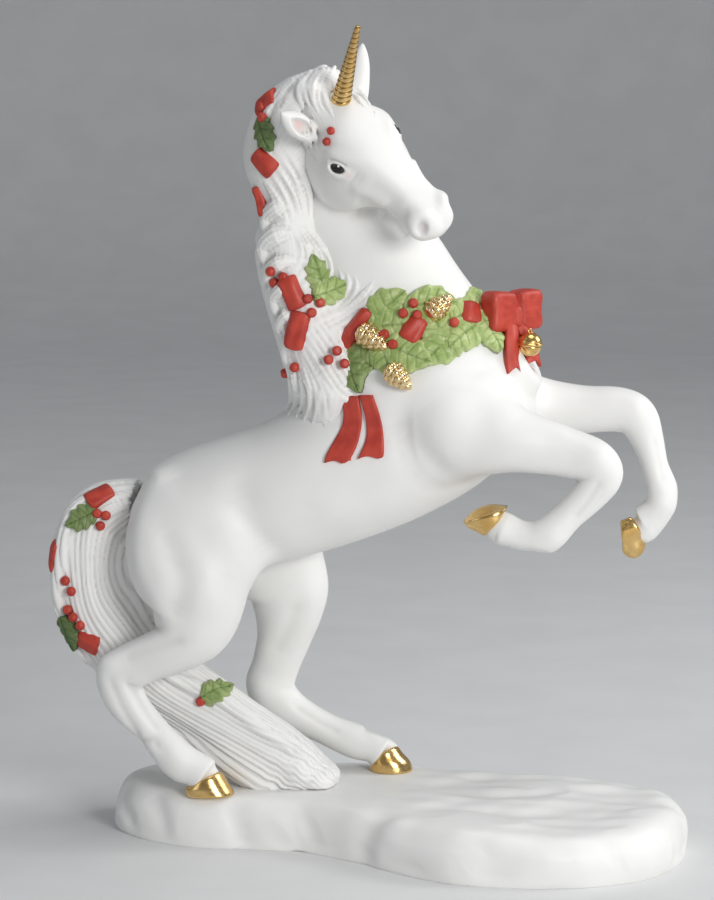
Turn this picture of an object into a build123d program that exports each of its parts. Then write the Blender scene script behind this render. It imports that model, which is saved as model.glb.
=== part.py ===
from build123d import *

import os
from math import cos, pi, radians, sin, sqrt

# A rearing unicorn figurine of bisque porcelain on a snow base.
# Frame: +Z up, +X the way the horse faces, origin under the middle of the base.

# Stance of the horse, which places every station of its castings
HORSE_LENGTH = 174.0
HORSE_HEIGHT = 208.0
STANCE_WIDTH = 36.0

# Snow base
BASE_LENGTH = 166.0
BASE_DEPTH = 74.0
BASE_HEIGHT = 14.0

# Girths of the castings, each taken at its thickest station
BARREL_DEPTH = 46.0
BARREL_WIDTH = 40.0
NECK_DEPTH = 52.0
NECK_WIDTH = 36.0
THIGH_DEPTH = 40.0
THIGH_WIDTH = 21.0
FOREARM_DEPTH = 26.0
FOREARM_WIDTH = 17.0
TAIL_DEPTH = 23.0
TAIL_WIDTH = 21.0
MANE_DEPTH = 27.0
MANE_WIDTH = 38.0

# Hooves
HOOF_LENGTH = 12.5
HOOF_WIDTH = 11.0
HOOF_HEIGHT = 6.0

# Head
HEAD_LENGTH = 46.5
HEAD_DEPTH = 25.0
HEAD_WIDTH = 22.0
HEAD_TURN = -60.0
HEAD_LIFT = 34.0
HEAD_TILT = 35.0
EYE_RADIUS = 2.4
EAR_LENGTH = 16.0
EAR_WIDTH = 7.6
HORN_LENGTH = 32.5
HORN_RADIUS = 3.0
HORN_TIP_RADIUS = 0.7
HORN_RIDGES = 14
HORN_GROOVE = 0.35

# Locks of hair
LOCK_RADIUS = 2.4
FORELOCK_RADIUS = 3.0
# How deep a piece of trim is pressed into what carries it, and how far out its place is looked for
SEAT_DEPTH = 0.05
SEAT_REACH = 60.0

# Trim: holly, berries, cones, ribbons, bow and bell
LEAF_LENGTH = 12.0
LEAF_WIDTH = 7.6
LEAF_THICKNESS = 1.6
BERRY_RADIUS = 1.5
CONE_LENGTH = 9.0
CONE_RADIUS = 3.1
RIBBON_WIDTH = 6.0
RIBBON_THICKNESS = 1.8
RIBBON_BEND = 16.0
STREAMER_THICKNESS = 1.4
BOW_LOOP_LENGTH = 9.2
BOW_LOOP_HEIGHT = 11.0
BOW_LOOP_DEPTH = 6.0
BOW_TURN = 53.0
KNOT_RADIUS = 2.9
KNOT_LENGTH = 13.0
BOW_TAIL_WIDTH = 4.4
BOW_TAIL_THICKNESS = 1.8
BELL_RADIUS = 3.4
BELL_SLOT = 0.8
# Below one, the head's sections are squarer than an ellipse
HEAD_FULLNESS = 0.8

# Points on each section's outline, and steps between two stations of a table
RING_POINTS = 8
FINE_STEPS = 3
# Girth left at the very tip of a domed end
TIP_SHARE = 0.2

# Stations: shares of horse length, stance width and horse height, then of the casting's depth and width
TORSO_SHARES = [
    (-0.431, 0.00, 0.325, 0.00, 0.00),
    (-0.414, 0.00, 0.332, 0.44, 0.45),
    (-0.379, 0.00, 0.346, 0.66, 0.70),
    (-0.328, 0.00, 0.360, 0.76, 0.87),
    (-0.259, 0.00, 0.377, 0.80, 0.93),
    (-0.184, 0.00, 0.397, 0.83, 0.95),
    (-0.109, 0.00, 0.424, 0.89, 0.98),
    (-0.034, 0.00, 0.459, 0.97, 1.00),
    (0.040, 0.00, 0.498, 1.00, 1.00),
    (0.103, 0.00, 0.529, 0.91, 0.93),
    (0.149, 0.00, 0.553, 0.72, 0.76),
    (0.181, 0.00, 0.570, 0.44, 0.48),
    (0.201, 0.00, 0.580, 0.00, 0.00),
]
NECK_SHARES = [
    (0.023, 0.00, 0.529, 0.92, 1.00),
    (0.000, -0.01, 0.591, 1.00, 0.94),
    (-0.029, -0.04, 0.663, 0.83, 0.80),
    (-0.057, -0.09, 0.731, 0.70, 0.64),
    (-0.080, -0.15, 0.798, 0.60, 0.50),
    (-0.095, -0.25, 0.856, 0.50, 0.46),
    (-0.098, -0.36, 0.900, 0.36, 0.42),
]
NEAR_HIND_SHARES = [
    (-0.333, -0.17, 0.404, 0.55, 0.55),
    (-0.333, -0.31, 0.337, 0.96, 0.96),
    (-0.328, -0.40, 0.279, 0.95, 1.00),
    (-0.322, -0.46, 0.231, 0.66, 0.86),
    (-0.351, -0.48, 0.202, 0.46, 0.67),
    (-0.397, -0.48, 0.178, 0.35, 0.52),
    (-0.431, -0.47, 0.154, 0.32, 0.48),
    (-0.420, -0.47, 0.118, 0.27, 0.45),
    (-0.380, -0.47, 0.082, 0.21, 0.38),
    (-0.337, -0.47, 0.043, 0.25, 0.44),
    (-0.310, -0.47, 0.032, 0.22, 0.42),
    (-0.295, -0.47, 0.024, 0.25, 0.46),
]
FAR_HIND_SHARES = [
    (-0.285, 0.14, 0.375, 0.55, 0.55),
    (-0.245, 0.30, 0.318, 0.78, 0.92),
    (-0.207, 0.42, 0.260, 0.62, 0.90),
    (-0.204, 0.47, 0.221, 0.50, 0.81),
    (-0.213, 0.50, 0.178, 0.38, 0.62),
    (-0.227, 0.50, 0.139, 0.33, 0.50),
    (-0.235, 0.50, 0.108, 0.34, 0.48),
    (-0.204, 0.51, 0.079, 0.27, 0.43),
    (-0.149, 0.52, 0.055, 0.22, 0.40),
    (-0.098, 0.53, 0.038, 0.24, 0.44),
    (-0.066, 0.53, 0.031, 0.22, 0.42),
    (-0.049, 0.53, 0.024, 0.25, 0.46),
]
NEAR_FORE_SHARES = [
    (0.010, -0.22, 0.500, 0.80, 0.70),
    (0.080, -0.36, 0.495, 0.96, 1.00),
    (0.149, -0.42, 0.485, 0.77, 0.90),
    (0.207, -0.42, 0.478, 0.59, 0.78),
    (0.270, -0.42, 0.468, 0.49, 0.66),
    (0.313, -0.42, 0.457, 0.45, 0.63),
    (0.328, -0.42, 0.440, 0.42, 0.60),
    (0.312, -0.42, 0.416, 0.35, 0.54),
    (0.279, -0.42, 0.387, 0.30, 0.46),
    (0.241, -0.42, 0.358, 0.35, 0.53),
    (0.204, -0.42, 0.355, 0.30, 0.47),
    (0.178, -0.42, 0.362, 0.33, 0.53),
]
FAR_FORE_SHARES = [
    (0.040, 0.17, 0.515, 0.75, 0.65),
    (0.120, 0.31, 0.512, 0.84, 0.94),
    (0.207, 0.38, 0.505, 0.65, 0.82),
    (0.276, 0.39, 0.505, 0.50, 0.70),
    (0.333, 0.39, 0.506, 0.46, 0.65),
    (0.362, 0.39, 0.495, 0.43, 0.63),
    (0.379, 0.39, 0.466, 0.33, 0.55),
    (0.391, 0.39, 0.433, 0.27, 0.46),
    (0.403, 0.39, 0.401, 0.31, 0.50),
    (0.397, 0.39, 0.377, 0.28, 0.46),
    (0.376, 0.39, 0.361, 0.32, 0.50),
]
TAIL_SHARES = [
    (-0.379, 0.00, 0.375, 0.40, 0.45),
    (-0.420, 0.00, 0.378, 0.46, 0.60),
    (-0.466, 0.00, 0.364, 0.70, 0.86),
    (-0.494, 0.00, 0.341, 0.88, 1.00),
    (-0.506, 0.00, 0.288, 1.00, 1.00),
    (-0.494, 0.00, 0.231, 1.00, 1.00),
    (-0.454, 0.00, 0.178, 0.96, 0.95),
    (-0.397, 0.00, 0.135, 0.91, 0.90),
    (-0.328, 0.00, 0.099, 0.87, 0.85),
    (-0.259, 0.00, 0.065, 0.80, 0.90),
    (-0.190, 0.00, 0.036, 0.66, 0.95),
    (-0.138, 0.00, 0.012, 0.44, 0.90),
    (-0.103, 0.00, -0.002, 0.00, 0.00),
]
MANE_SHARES = [
    (-0.075, -0.62, 0.928, 0.00, 0.00),
    (-0.105, -0.50, 0.918, 0.50, 0.45),
    (-0.146, -0.38, 0.885, 0.78, 0.58),
    (-0.168, -0.28, 0.835, 0.84, 0.62),
    (-0.162, -0.20, 0.780, 0.62, 0.62),
    (-0.161, -0.17, 0.722, 0.78, 0.70),
    (-0.144, -0.14, 0.673, 0.88, 0.80),
    (-0.118, -0.10, 0.615, 0.96, 0.92),
    (-0.098, -0.08, 0.563, 1.00, 0.96),
    (-0.092, -0.08, 0.522, 0.86, 0.92),
    (-0.100, -0.08, 0.488, 0.00, 0.00),
]
# How far the sole of a raised hoof is turned up from the ground, in degrees
NEAR_FORE_HOOF_FOLD = 160.0
FAR_FORE_HOOF_FOLD = 84.0
# How far ahead of the coronet the middle of the sole lies, as a share of the hoof's length
HOOF_TOE_SHARE = 0.18
# Head sections: shares of head length along the face, of head depth above and below its axis, of head width
HEAD_SHARES = [
    (-0.06, 0.05, 0.18, 0.36),
    (0.06, 0.24, 0.40, 0.70),
    (0.20, 0.32, 0.56, 0.90),
    (0.33, 0.33, 0.68, 0.96),
    (0.47, 0.29, 0.66, 0.84),
    (0.62, 0.21, 0.46, 0.62),
    (0.76, 0.15, 0.34, 0.52),
    (0.88, 0.13, 0.33, 0.57),
    (0.96, 0.07, 0.27, 0.44),
    (1.00, -0.10, -0.10, 0.00),
]
HEAD_PLACE_SHARES = (-0.097, -0.56, 0.905)
# Eyes, ears and horn: shares of head length down the face, head width to the side and head depth out of it
EYE_SHARES = (0.345, 0.44, -0.06)
EAR_SHARES = (0.12, 0.37, 0.00)
HORN_SHARES = (0.09, 0.04, 0.16)
# Directions in the head's own axes
RIGHT_EAR_AXIS = (-0.52, -0.56, 0.64)
LEFT_EAR_AXIS = (-0.64, 0.64, 0.36)
RIGHT_EAR_FRONT = (0.10, -0.50, 0.85)
LEFT_EAR_FRONT = (0.20, 0.95, -0.10)
HORN_AXIS = (-0.15, 0.0, 0.99)
# Ear sections: share of its length, half width, half depth and forward shift as shares of its width
EAR_BODY_SHARES = [(0.0, 0.32, 0.26), (0.30, 0.46, 0.33), (0.60, 0.44, 0.27), (0.86, 0.22, 0.15)]
EAR_HOLLOW_SHARES = [(0.12, 0.20, 0.16), (0.35, 0.34, 0.24), (0.62, 0.31, 0.20), (0.85, 0.11, 0.09)]
EAR_HOLLOW_SHIFT_SHARE = 0.24

# Locks on the tail: shares of its length at root and tip, then the turns of its section there
TAIL_LOCK_SHARES = [
    (0.14, 0.50, -0.42, -0.36),
    (0.24, 0.74, -0.17, -0.16),
    (0.50, 0.90, 0.42, 0.36),
    (0.56, 0.93, -0.36, -0.30),
]
# Locks on the mane, in shares of horse length, stance width and horse height
MANE_LOCK_SHARES = [
    [(-0.140, -0.56, 0.880), (-0.172, -0.60, 0.850), (-0.197, -0.54, 0.810), (-0.180, -0.50, 0.775)],
    [(-0.140, -0.52, 0.790), (-0.168, -0.50, 0.760), (-0.198, -0.42, 0.735), (-0.188, -0.40, 0.700)],
    [(-0.120, -0.50, 0.740), (-0.148, -0.53, 0.715), (-0.183, -0.48, 0.680), (-0.174, -0.47, 0.645)],
    [(-0.100, -0.52, 0.640), (-0.125, -0.58, 0.610), (-0.130, -0.60, 0.575), (-0.115, -0.58, 0.535)],
]
# Height of a berry's or cone's middle above its seat, as a share of its radius
BERRY_SINK_SHARE = 0.7
LOCK_WAVE_SHARE = 0.02
LOCK_POINTS = 9
# Forelock in the head's own shares: down the face, to the left, out of it
FORELOCK_SHARES = [
    [(-0.02, -0.03, 0.28), (0.00, -0.24, 0.27), (0.03, -0.40, 0.23), (0.12, -0.46, 0.15)],
    [(0.00, 0.04, 0.26), (0.07, 0.22, 0.30), (0.15, 0.32, 0.22)],
]

# Trim places: shares of horse length, stance width and horse height, then the turn away from the near side
# A leaf or ribbon adds the slant of its long axis and its length as a share of the leaf's or ribbon's own
GARLAND_LEAF_SHARES = [
    (-0.004, -0.44, 0.643, 3, 45, 1.05),
    (0.061, -0.37, 0.656, 22, 0, 1.15),
    (0.110, -0.23, 0.645, 45, 20, 0.90),
    (0.132, -0.12, 0.650, 66, 30, 0.75),
    (0.142, -0.17, 0.608, 48, -80, 0.90),
    (0.110, -0.31, 0.612, 35, -150, 0.85),
    (0.079, -0.42, 0.600, 20, -130, 1.15),
    (0.031, -0.47, 0.588, 2, -20, 1.10),
    (-0.004, -0.48, 0.581, -4, -70, 1.00),
    (-0.049, -0.45, 0.585, -14, 160, 0.85),
    (-0.050, -0.45, 0.565, -16, -55, 0.80),
    (0.003, -0.46, 0.622, 1, 10, 1.00),
    (0.075, -0.40, 0.628, 25, 110, 0.95),
    (0.075, 0.40, 0.628, 155, 20, 1.00),
    (0.110, 0.27, 0.630, 140, -30, 0.90),
    (0.036, 0.45, 0.622, 170, 160, 1.05),
    (0.003, 0.46, 0.615, 179, 30, 1.05),
    (-0.030, 0.46, 0.600, 186, 200, 1.00),
]
GARLAND_RIBBON_SHARES = [
    (-0.050, -0.44, 0.620, -10, 54, 1.90),
    (0.039, -0.45, 0.620, 10, 60, 1.05),
    (0.114, -0.24, 0.637, 44, 75, 1.00),
]
GARLAND_CONE_SHARES = [
    (-0.019, -0.46, 0.607, -4, -30, 1.05),
    (0.073, -0.36, 0.647, 27, 38, 0.95),
    (0.024, -0.49, 0.559, 1, -40, 0.95),
]
GARLAND_BERRY_SHARES = [
    (-0.002, -0.47, 0.613, -1),
    (0.012, -0.47, 0.600, -1),
    (0.036, -0.41, 0.652, 15),
    (0.023, -0.44, 0.640, 8),
    (0.043, -0.42, 0.637, 13),
    (0.092, -0.35, 0.625, 32),
    (0.131, -0.13, 0.637, 67),
    (0.141, -0.11, 0.620, 73),
    (-0.079, -0.55, 0.592, 27),
    (-0.090, -0.58, 0.580, 19),
    (-0.069, -0.55, 0.576, 36),
    (0.060, 0.43, 0.625, 165),
    (0.020, 0.46, 0.612, 175),
]
MANE_RIBBON_SHARES = [
    (-0.146, -0.56, 0.666, -3, -65, 1.40),
    (-0.138, -0.56, 0.618, -22, 75, 1.60),
    (-0.187, -0.59, 0.831, -17, -45, 1.15),
    (-0.183, -0.54, 0.908, -50, 40, 1.20),
    (-0.198, -0.44, 0.782, -47, -80, 1.25),
]
MANE_LEAF_SHARES = [
    (-0.110, -0.49, 0.690, 30, 105, 0.72),
    (-0.093, -0.46, 0.668, 40, 10, 0.72),
    (-0.182, -0.63, 0.868, -27, -65, 0.68),
]
MANE_BERRY_SHARES = [
    (-0.174, -0.52, 0.694, -17),
    (-0.160, -0.54, 0.686, -14),
    (-0.176, -0.51, 0.678, -28),
    (-0.122, -0.55, 0.658, 19),
    (-0.104, -0.53, 0.653, 20),
    (-0.115, -0.56, 0.641, 17),
    (-0.160, -0.40, 0.560, -50),
    (-0.140, -0.52, 0.570, -36),
    (-0.190, -0.58, 0.900, -52),
    (-0.180, -0.62, 0.888, -35),
]
FOREHEAD_BERRY_SHARES = [
    (-0.070, -0.85, 0.873, -20),
    (-0.078, -0.83, 0.860, -37),
]
TAIL_RIBBON_SHARES = [
    (-0.478, -0.18, 0.386, -10, 30, 1.20),
    (-0.552, -0.20, 0.302, -41, 80, 1.35),
    (-0.497, -0.26, 0.187, -21, -20, 1.05),
]
TAIL_LEAF_SHARES = [
    (-0.504, -0.26, 0.357, -15, 200, 0.70),
    (-0.526, -0.21, 0.200, -35, -75, 0.75),
    (-0.293, -0.14, 0.129, 32, 20, 0.75),
]
TAIL_BERRY_SHARES = [
    (-0.478, -0.27, 0.363, 9),
    (-0.464, -0.26, 0.361, 17),
    (-0.474, -0.27, 0.348, 16),
    (-0.530, -0.27, 0.272, -13),
    (-0.520, -0.28, 0.258, -12),
    (-0.528, -0.25, 0.232, -23),
    (-0.517, -0.27, 0.223, -22),
    (-0.506, -0.27, 0.212, -14),
    (-0.313, -0.22, 0.114, 12),
]
STREAMER_SHARES = [
    [
        (-0.068, 0.530),
        (-0.064, 0.514),
        (-0.068, 0.498),
        (-0.080, 0.478),
        (-0.093, 0.458),
        (-0.096, 0.447),
        (-0.077, 0.451),
        (-0.066, 0.444),
        (-0.053, 0.454),
        (-0.044, 0.471),
        (-0.040, 0.491),
        (-0.040, 0.511),
        (-0.044, 0.530),
    ],
    [
        (-0.037, 0.532),
        (-0.033, 0.514),
        (-0.030, 0.498),
        (-0.032, 0.478),
        (-0.040, 0.459),
        (-0.042, 0.452),
        (-0.022, 0.456),
        (-0.011, 0.451),
        (-0.005, 0.453),
        (-0.004, 0.466),
        (-0.006, 0.491),
        (-0.011, 0.514),
        (-0.019, 0.532),
    ],
]
# Half outline of a leaf: shares of its length and of its width
LEAF_OUTLINE_SHARES = [(0.16, 0.30), (0.27, 0.24), (0.42, 0.50), (0.55, 0.32), (0.70, 0.42), (0.82, 0.18)]
# Sections along a cone, as shares of its length
CONE_STATION_SHARES = (-0.50, -0.42, -0.25, 0.0, 0.28, 0.50)
BOW_PLACE_SHARES = (0.177, -0.06, 0.641)
# Bow loop sections: share of its length, then of its half height and half depth
BOW_LOOP_SHARES = [
    (0.06, 0.52, 0.60),
    (0.32, 0.84, 0.92),
    (0.66, 1.0, 1.0),
    (0.90, 0.92, 0.82),
    (1.0, 0.66, 0.44),
]
BOW_TAIL_SHARES = [
    [(0.178, -0.13, 0.628), (0.182, -0.20, 0.606), (0.186, -0.25, 0.584), (0.188, -0.26, 0.570)],
    [(0.186, -0.06, 0.628), (0.202, -0.04, 0.604), (0.209, -0.04, 0.580), (0.211, -0.04, 0.566)],
]
BELL_SHARES = (0.208, -0.13, 0.599)

BASE_OUTLINE_SHARES = [
    (-0.50, 0.06),
    (-0.44, -0.20),
    (-0.33, -0.30),
    (-0.14, -0.29),
    (0.02, -0.46),
    (0.14, -0.58),
    (0.30, -0.56),
    (0.42, -0.42),
    (0.48, -0.10),
    (0.45, 0.22),
    (0.33, 0.39),
    (0.16, 0.40),
    (-0.05, 0.42),
    (-0.24, 0.34),
    (-0.40, 0.30),
]
# Rounded rim of the base: height share, then how far the outline has drawn in
BASE_RIM_SHARES = [(0.0, 0.985), (0.25, 1.0), (0.58, 0.993), (0.84, 0.968), (1.0, 0.915)]


def horse_point(length_share, stance_share, height_share):
    return Vector(
        length_share * HORSE_LENGTH,
        stance_share * STANCE_WIDTH,
        BASE_HEIGHT + height_share * HORSE_HEIGHT,
    )


def ring(centre, across, up, half_width, above, below, fullness=1.0):
    """A closed egg-shaped section: half_width to each side, above and below along up."""
    points = []
    for k in range(RING_POINTS):
        turn = 2 * pi * k / RING_POINTS
        side_share = abs(cos(turn)) ** fullness * (1 if cos(turn) > 0 else -1)
        rise_share = abs(sin(turn)) ** fullness * (above if sin(turn) > 0 else -below)
        points.append(centre + across * (half_width * side_share) + up * rise_share)
    return Wire([Edge.make_spline(points, periodic=True)])


def curve_value(before, start, end, after, step_share):
    """A smooth curve's value part of the way from start to end."""
    slope_in = (end - before) / 2
    slope_out = (after - start) / 2
    t = step_share
    return (
        start * (2 * t**3 - 3 * t**2 + 1)
        + slope_in * (t**3 - 2 * t**2 + t)
        + end * (3 * t**2 - 2 * t**3)
        + slope_out * (t**3 - t**2)
    )


def rounded(girths, t):
    """Girths near an end that closes as a dome, t of the way from its tip."""
    dome_share = max(sqrt(1 - (1 - t) ** 2), TIP_SHARE)
    return [girth * dome_share for girth in girths]


def fine_stations(stations):
    """Adds stations between those of a table, so a loft follows them closely; ends of no girth are domed."""
    last = len(stations) - 1
    fine = []
    for k in range(last):
        row = (stations[max(k - 1, 0)], stations[k], stations[k + 1], stations[min(k + 2, last)])
        for step in range(FINE_STEPS):
            t = step / FINE_STEPS
            if row[1][3] == 0:
                t = t**2
            if row[2][3] == 0:
                t = 1 - (1 - t) ** 2
            station = [curve_value(*values, t) for values in zip(*row)]
            if row[1][3] == 0:
                station[3:] = rounded(row[2][3:], t)
            if row[2][3] == 0:
                station[3:] = rounded(row[1][3:], 1 - t)
            fine.append(station)
    final = list(stations[last])
    if final[3] == 0:
        final[3:] = rounded(stations[last - 1][3:], 0)
    return fine + [final]


def stations_rings(table, depth, width):
    """The sections of one casting."""
    side = Vector(0, 1, 0)
    stations = fine_stations(table)
    centres = [horse_point(*station[:3]) for station in stations]
    sections = []
    for k, station in enumerate(stations):
        middle = min(max(k, 1), len(centres) - 2)
        along = centres[middle + 1] - centres[middle - 1]
        across = (side - along * (side.dot(along) / along.dot(along))).normalized()
        up = along.normalized().cross(across)
        half_depth = station[3] * depth / 2
        sections.append(ring(centres[k], across, up, station[4] * width / 2, half_depth, half_depth))
    return sections


def casting(stations, depth, width):
    return Solid.make_loft(stations_rings(stations, depth, width))


def make_hoof(stations, depth, width, fold=0.0):
    """A gilded hoof from the leg's last section to its sole, turned up by fold degrees."""
    coronet = stations_rings(stations, depth, width)[-1]
    toe = Vector(cos(radians(fold)), 0, -sin(radians(fold)))
    down = Vector(-sin(radians(fold)), 0, -cos(radians(fold)))
    centre = horse_point(*stations[-1][:3])
    drop = centre.Z - BASE_HEIGHT if fold == 0 else HOOF_HEIGHT
    sole = centre + toe * (HOOF_TOE_SHARE * HOOF_LENGTH) + down * drop
    side = Vector(0, 1, 0)
    rim = ring(sole, side, toe, HOOF_WIDTH / 2, HOOF_LENGTH / 2, HOOF_LENGTH / 2)
    return Solid.make_loft([coronet, rim])


def head_plane():
    """Axes of the head: X down the face, Y to the horse's left, Z out of the forehead."""
    turn, lift, tilt = radians(HEAD_TURN), radians(HEAD_LIFT), radians(HEAD_TILT)
    out = Vector(cos(turn) * cos(lift), sin(turn) * cos(lift), sin(lift))
    level_left = Vector(-sin(turn), cos(turn), 0)
    left = level_left * cos(tilt) + out.cross(level_left) * sin(tilt)
    return Plane(horse_point(*HEAD_PLACE_SHARES), x_dir=left.cross(out), z_dir=out)


def make_head():
    plane = head_plane()
    sections = []
    for along, above, below, wide in HEAD_SHARES:
        centre = plane.origin + plane.x_dir * (along * HEAD_LENGTH)
        if wide == 0:
            sections.append(Vertex(*(centre + plane.z_dir * (above * HEAD_DEPTH))))
            continue
        sections.append(
            ring(
                centre,
                plane.y_dir,
                plane.z_dir,
                wide * HEAD_WIDTH / 2,
                above * HEAD_DEPTH,
                below * HEAD_DEPTH,
                HEAD_FULLNESS,
            )
        )
    return Solid.make_loft(sections)


def head_point(plane, length_share, width_share, depth_share):
    return (
        plane.origin
        + plane.x_dir * (length_share * HEAD_LENGTH)
        + plane.y_dir * (width_share * HEAD_WIDTH)
        + plane.z_dir * (depth_share * HEAD_DEPTH)
    )


def head_direction(plane, down, left, out):
    return (plane.x_dir * down + plane.y_dir * left + plane.z_dir * out).normalized()


def make_eye(side):
    down, wide, out = EYE_SHARES
    return Pos(head_point(head_plane(), down, side * wide, out)) * Sphere(EYE_RADIUS)


def make_ear(side, axis_parts, front_parts):
    """A pointed cup: a tapering loft with a smaller one scooped out of its front."""
    plane = head_plane()
    down, wide, out = EAR_SHARES
    root = head_point(plane, down, side * wide, out)
    axis = head_direction(plane, *axis_parts)
    front = head_direction(plane, *front_parts)
    across = axis.cross(front).normalized()
    front = across.cross(axis)
    solids = []
    for table, shift_share in ((EAR_BODY_SHARES, 0.0), (EAR_HOLLOW_SHARES, EAR_HOLLOW_SHIFT_SHARE)):
        shift = front * (shift_share * EAR_WIDTH)
        sections = []
        for along, half_width, half_depth in table:
            centre = root + axis * (along * EAR_LENGTH) + shift
            thick = half_depth * EAR_WIDTH
            sections.append(ring(centre, across, front, half_width * EAR_WIDTH, thick, thick))
        sections.append(Vertex(*(root + axis * EAR_LENGTH + shift)))
        solids.append(Solid.make_loft(sections))
    return solids[0] - solids[1]


def make_horn():
    """A cone turned with a groove between every two ridges."""
    plane = head_plane()
    root = head_point(plane, *HORN_SHARES)
    axis = head_direction(plane, *HORN_AXIS)
    outline = [(0, 0)]
    for k in range(HORN_RIDGES):
        for step_share, depth in ((0.0, HORN_GROOVE), (0.5, 0.0)):
            along_share = (k + step_share) / HORN_RIDGES
            radius = HORN_RADIUS + (HORN_TIP_RADIUS - HORN_RADIUS) * along_share
            outline.append((radius - depth * (1 - along_share), along_share * HORN_LENGTH))
    outline.append((0, HORN_LENGTH))
    face = Plane.XZ * make_face(Polyline(*outline, close=True))
    turned = revolve(face, Axis.Z)
    return Plane(root, z_dir=axis) * turned


def make_base():
    sections = []
    for height_share, spread_share in BASE_RIM_SHARES:
        points = [
            Vector(x * BASE_LENGTH * spread_share, y * BASE_DEPTH * spread_share, height_share * BASE_HEIGHT)
            for x, y in BASE_OUTLINE_SHARES
        ]
        sections.append(Wire([Edge.make_spline(points, periodic=True)]))
    return Solid.make_loft(sections)


def boxes_meet(first, second):
    one = first.bounding_box()
    two = second.bounding_box()
    apart = one.min.X > two.max.X or two.min.X > one.max.X
    apart = apart or one.min.Y > two.max.Y or two.min.Y > one.max.Y
    return not (apart or one.min.Z > two.max.Z or two.min.Z > one.max.Z)


def without(solid, *others):
    """What is left of a piece beside the pieces it is fitted to."""
    for other in others:
        if boxes_meet(solid, other):
            solid = solid - other
    return solid


def largest(shape):
    """The main solid of a piece, without chips left by fitting it."""
    return max(shape.solids(), key=lambda solid: solid.volume)


def group(solids):
    """Several separate solids of one node."""
    return Compound(children=[piece for solid in solids for piece in solid.solids()])


def make_lock(table, depth, width, lock_shares, lock_radius):
    """One tapering lock of hair, waving along the skin of mane or tail."""
    root, tip, root_turn, tip_turn = lock_shares
    stations = fine_stations(table)
    sections = stations_rings(table, depth, width)
    points = []
    for k in range(LOCK_POINTS):
        step = k / (LOCK_POINTS - 1)
        place = (root + (tip - root) * step) * (len(stations) - 1)
        wave = LOCK_WAVE_SHARE * sin(3 * pi * step)
        turn = (root_turn + (tip_turn - root_turn) * step + wave) % 1.0
        index = min(int(place), len(sections) - 2)
        start = sections[index] @ turn
        end = sections[index + 1] @ turn
        points.append(start + (end - start) * (place - index))
    return tapered_rod(points, lock_radius)


def tapered_rod(points, radius):
    """A round rod through points, thin at both ends."""
    sections = []
    last = len(points) - 1
    for k, point in enumerate(points):
        along = (points[min(k + 1, last)] - points[max(k - 1, 0)]).normalized()
        across = along.cross(Vector(0, 1, 0) if abs(along.Y) < 0.7 else Vector(0, 0, 1)).normalized()
        swell = radius * (TIP_SHARE + (1 - TIP_SHARE) * sin(pi * k / last))
        sections.append(ring(point, across, along.cross(across), swell, swell, swell))
    return Solid.make_loft(sections)


def make_forelock():
    plane = head_plane()
    locks = []
    for row in FORELOCK_SHARES:
        points = [head_point(plane, *place) for place in row]
        locks.append(tapered_rod(points, FORELOCK_RADIUS))
    return locks


def seat(carriers, length_share, stance_share, height_share, turn):
    """The plane that touches the first carrier met from outside, its X level and its Y up."""
    out = Vector(sin(radians(turn)), -cos(radians(turn)), 0)
    start = horse_point(length_share, stance_share, height_share) + out * SEAT_REACH
    hits = []
    for carrier in carriers:
        hits += carrier.find_intersection_points(Axis(start, out * -1))
    point, normal = min(hits, key=lambda hit: (hit[0] - start).length)
    if normal.dot(out) < 0:
        normal = normal * -1
    return Plane(point, x_dir=Vector(0, 0, 1).cross(normal), z_dir=normal)


def make_leaf(carriers, places):
    """A holly leaf let into its carrier at the middle, its tips standing a little proud."""
    plane = seat(carriers, *places[:4])
    slant, size_share = places[4:]
    length = LEAF_LENGTH * size_share
    width = LEAF_WIDTH * size_share
    upper = [(x * length, y * width) for x, y in LEAF_OUTLINE_SHARES]
    lower = [(x, -y) for x, y in reversed(upper)]
    outline = Polyline(*([(0, 0)] + upper + [(length, 0)] + lower), close=True)
    plate = extrude(make_face(outline), LEAF_THICKNESS)
    return plane * Rot(0, 0, slant) * Pos(-length / 2, 0, -SEAT_DEPTH) * plate


def make_ribbon_band(carriers, places):
    """A band of ribbon bent along its length to lie on its carrier."""
    plane = seat(carriers, *places[:4])
    slant, length_share = places[4:]
    half_turn = RIBBON_WIDTH * length_share / RIBBON_BEND / 2
    rows = []
    for radius in (RIBBON_BEND, RIBBON_BEND + RIBBON_THICKNESS):
        row = []
        for turn in (-half_turn, 0, half_turn):
            row.append((radius * sin(turn), radius * cos(turn) - RIBBON_BEND - SEAT_DEPTH))
        rows.append(row)
    inner, outer = rows
    ends = Line(inner[2], outer[2]) + Line(inner[0], outer[0])
    edges = ThreePointArc(*inner) + ThreePointArc(*outer) + ends
    band = extrude(Plane.XZ * make_face(edges), RIBBON_WIDTH / 2, both=True)
    return plane * Rot(0, 0, slant) * band


def pressed_on(plane, solid):
    """A solid drawn on a seat's plane, cut off flat where it is pressed on."""
    reach = CONE_LENGTH + CONE_RADIUS
    below = Pos(0, 0, -reach / 2 - SEAT_DEPTH) * Box(2 * reach, 2 * reach, reach)
    return plane * (solid - below)


def make_berry(carriers, places):
    ball = Pos(0, 0, BERRY_SINK_SHARE * BERRY_RADIUS) * Sphere(BERRY_RADIUS)
    return pressed_on(seat(carriers, *places), ball)


def make_cone(carriers, places):
    """A pine cone lying along the garland."""
    slant, size_share = places[4:]
    length = CONE_LENGTH * size_share
    radius = CONE_RADIUS * size_share
    points = [Vector(share * length, 0, BERRY_SINK_SHARE * radius) for share in CONE_STATION_SHARES]
    return pressed_on(seat(carriers, *places[:4]), Rot(0, 0, slant) * tapered_rod(points, radius))


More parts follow.
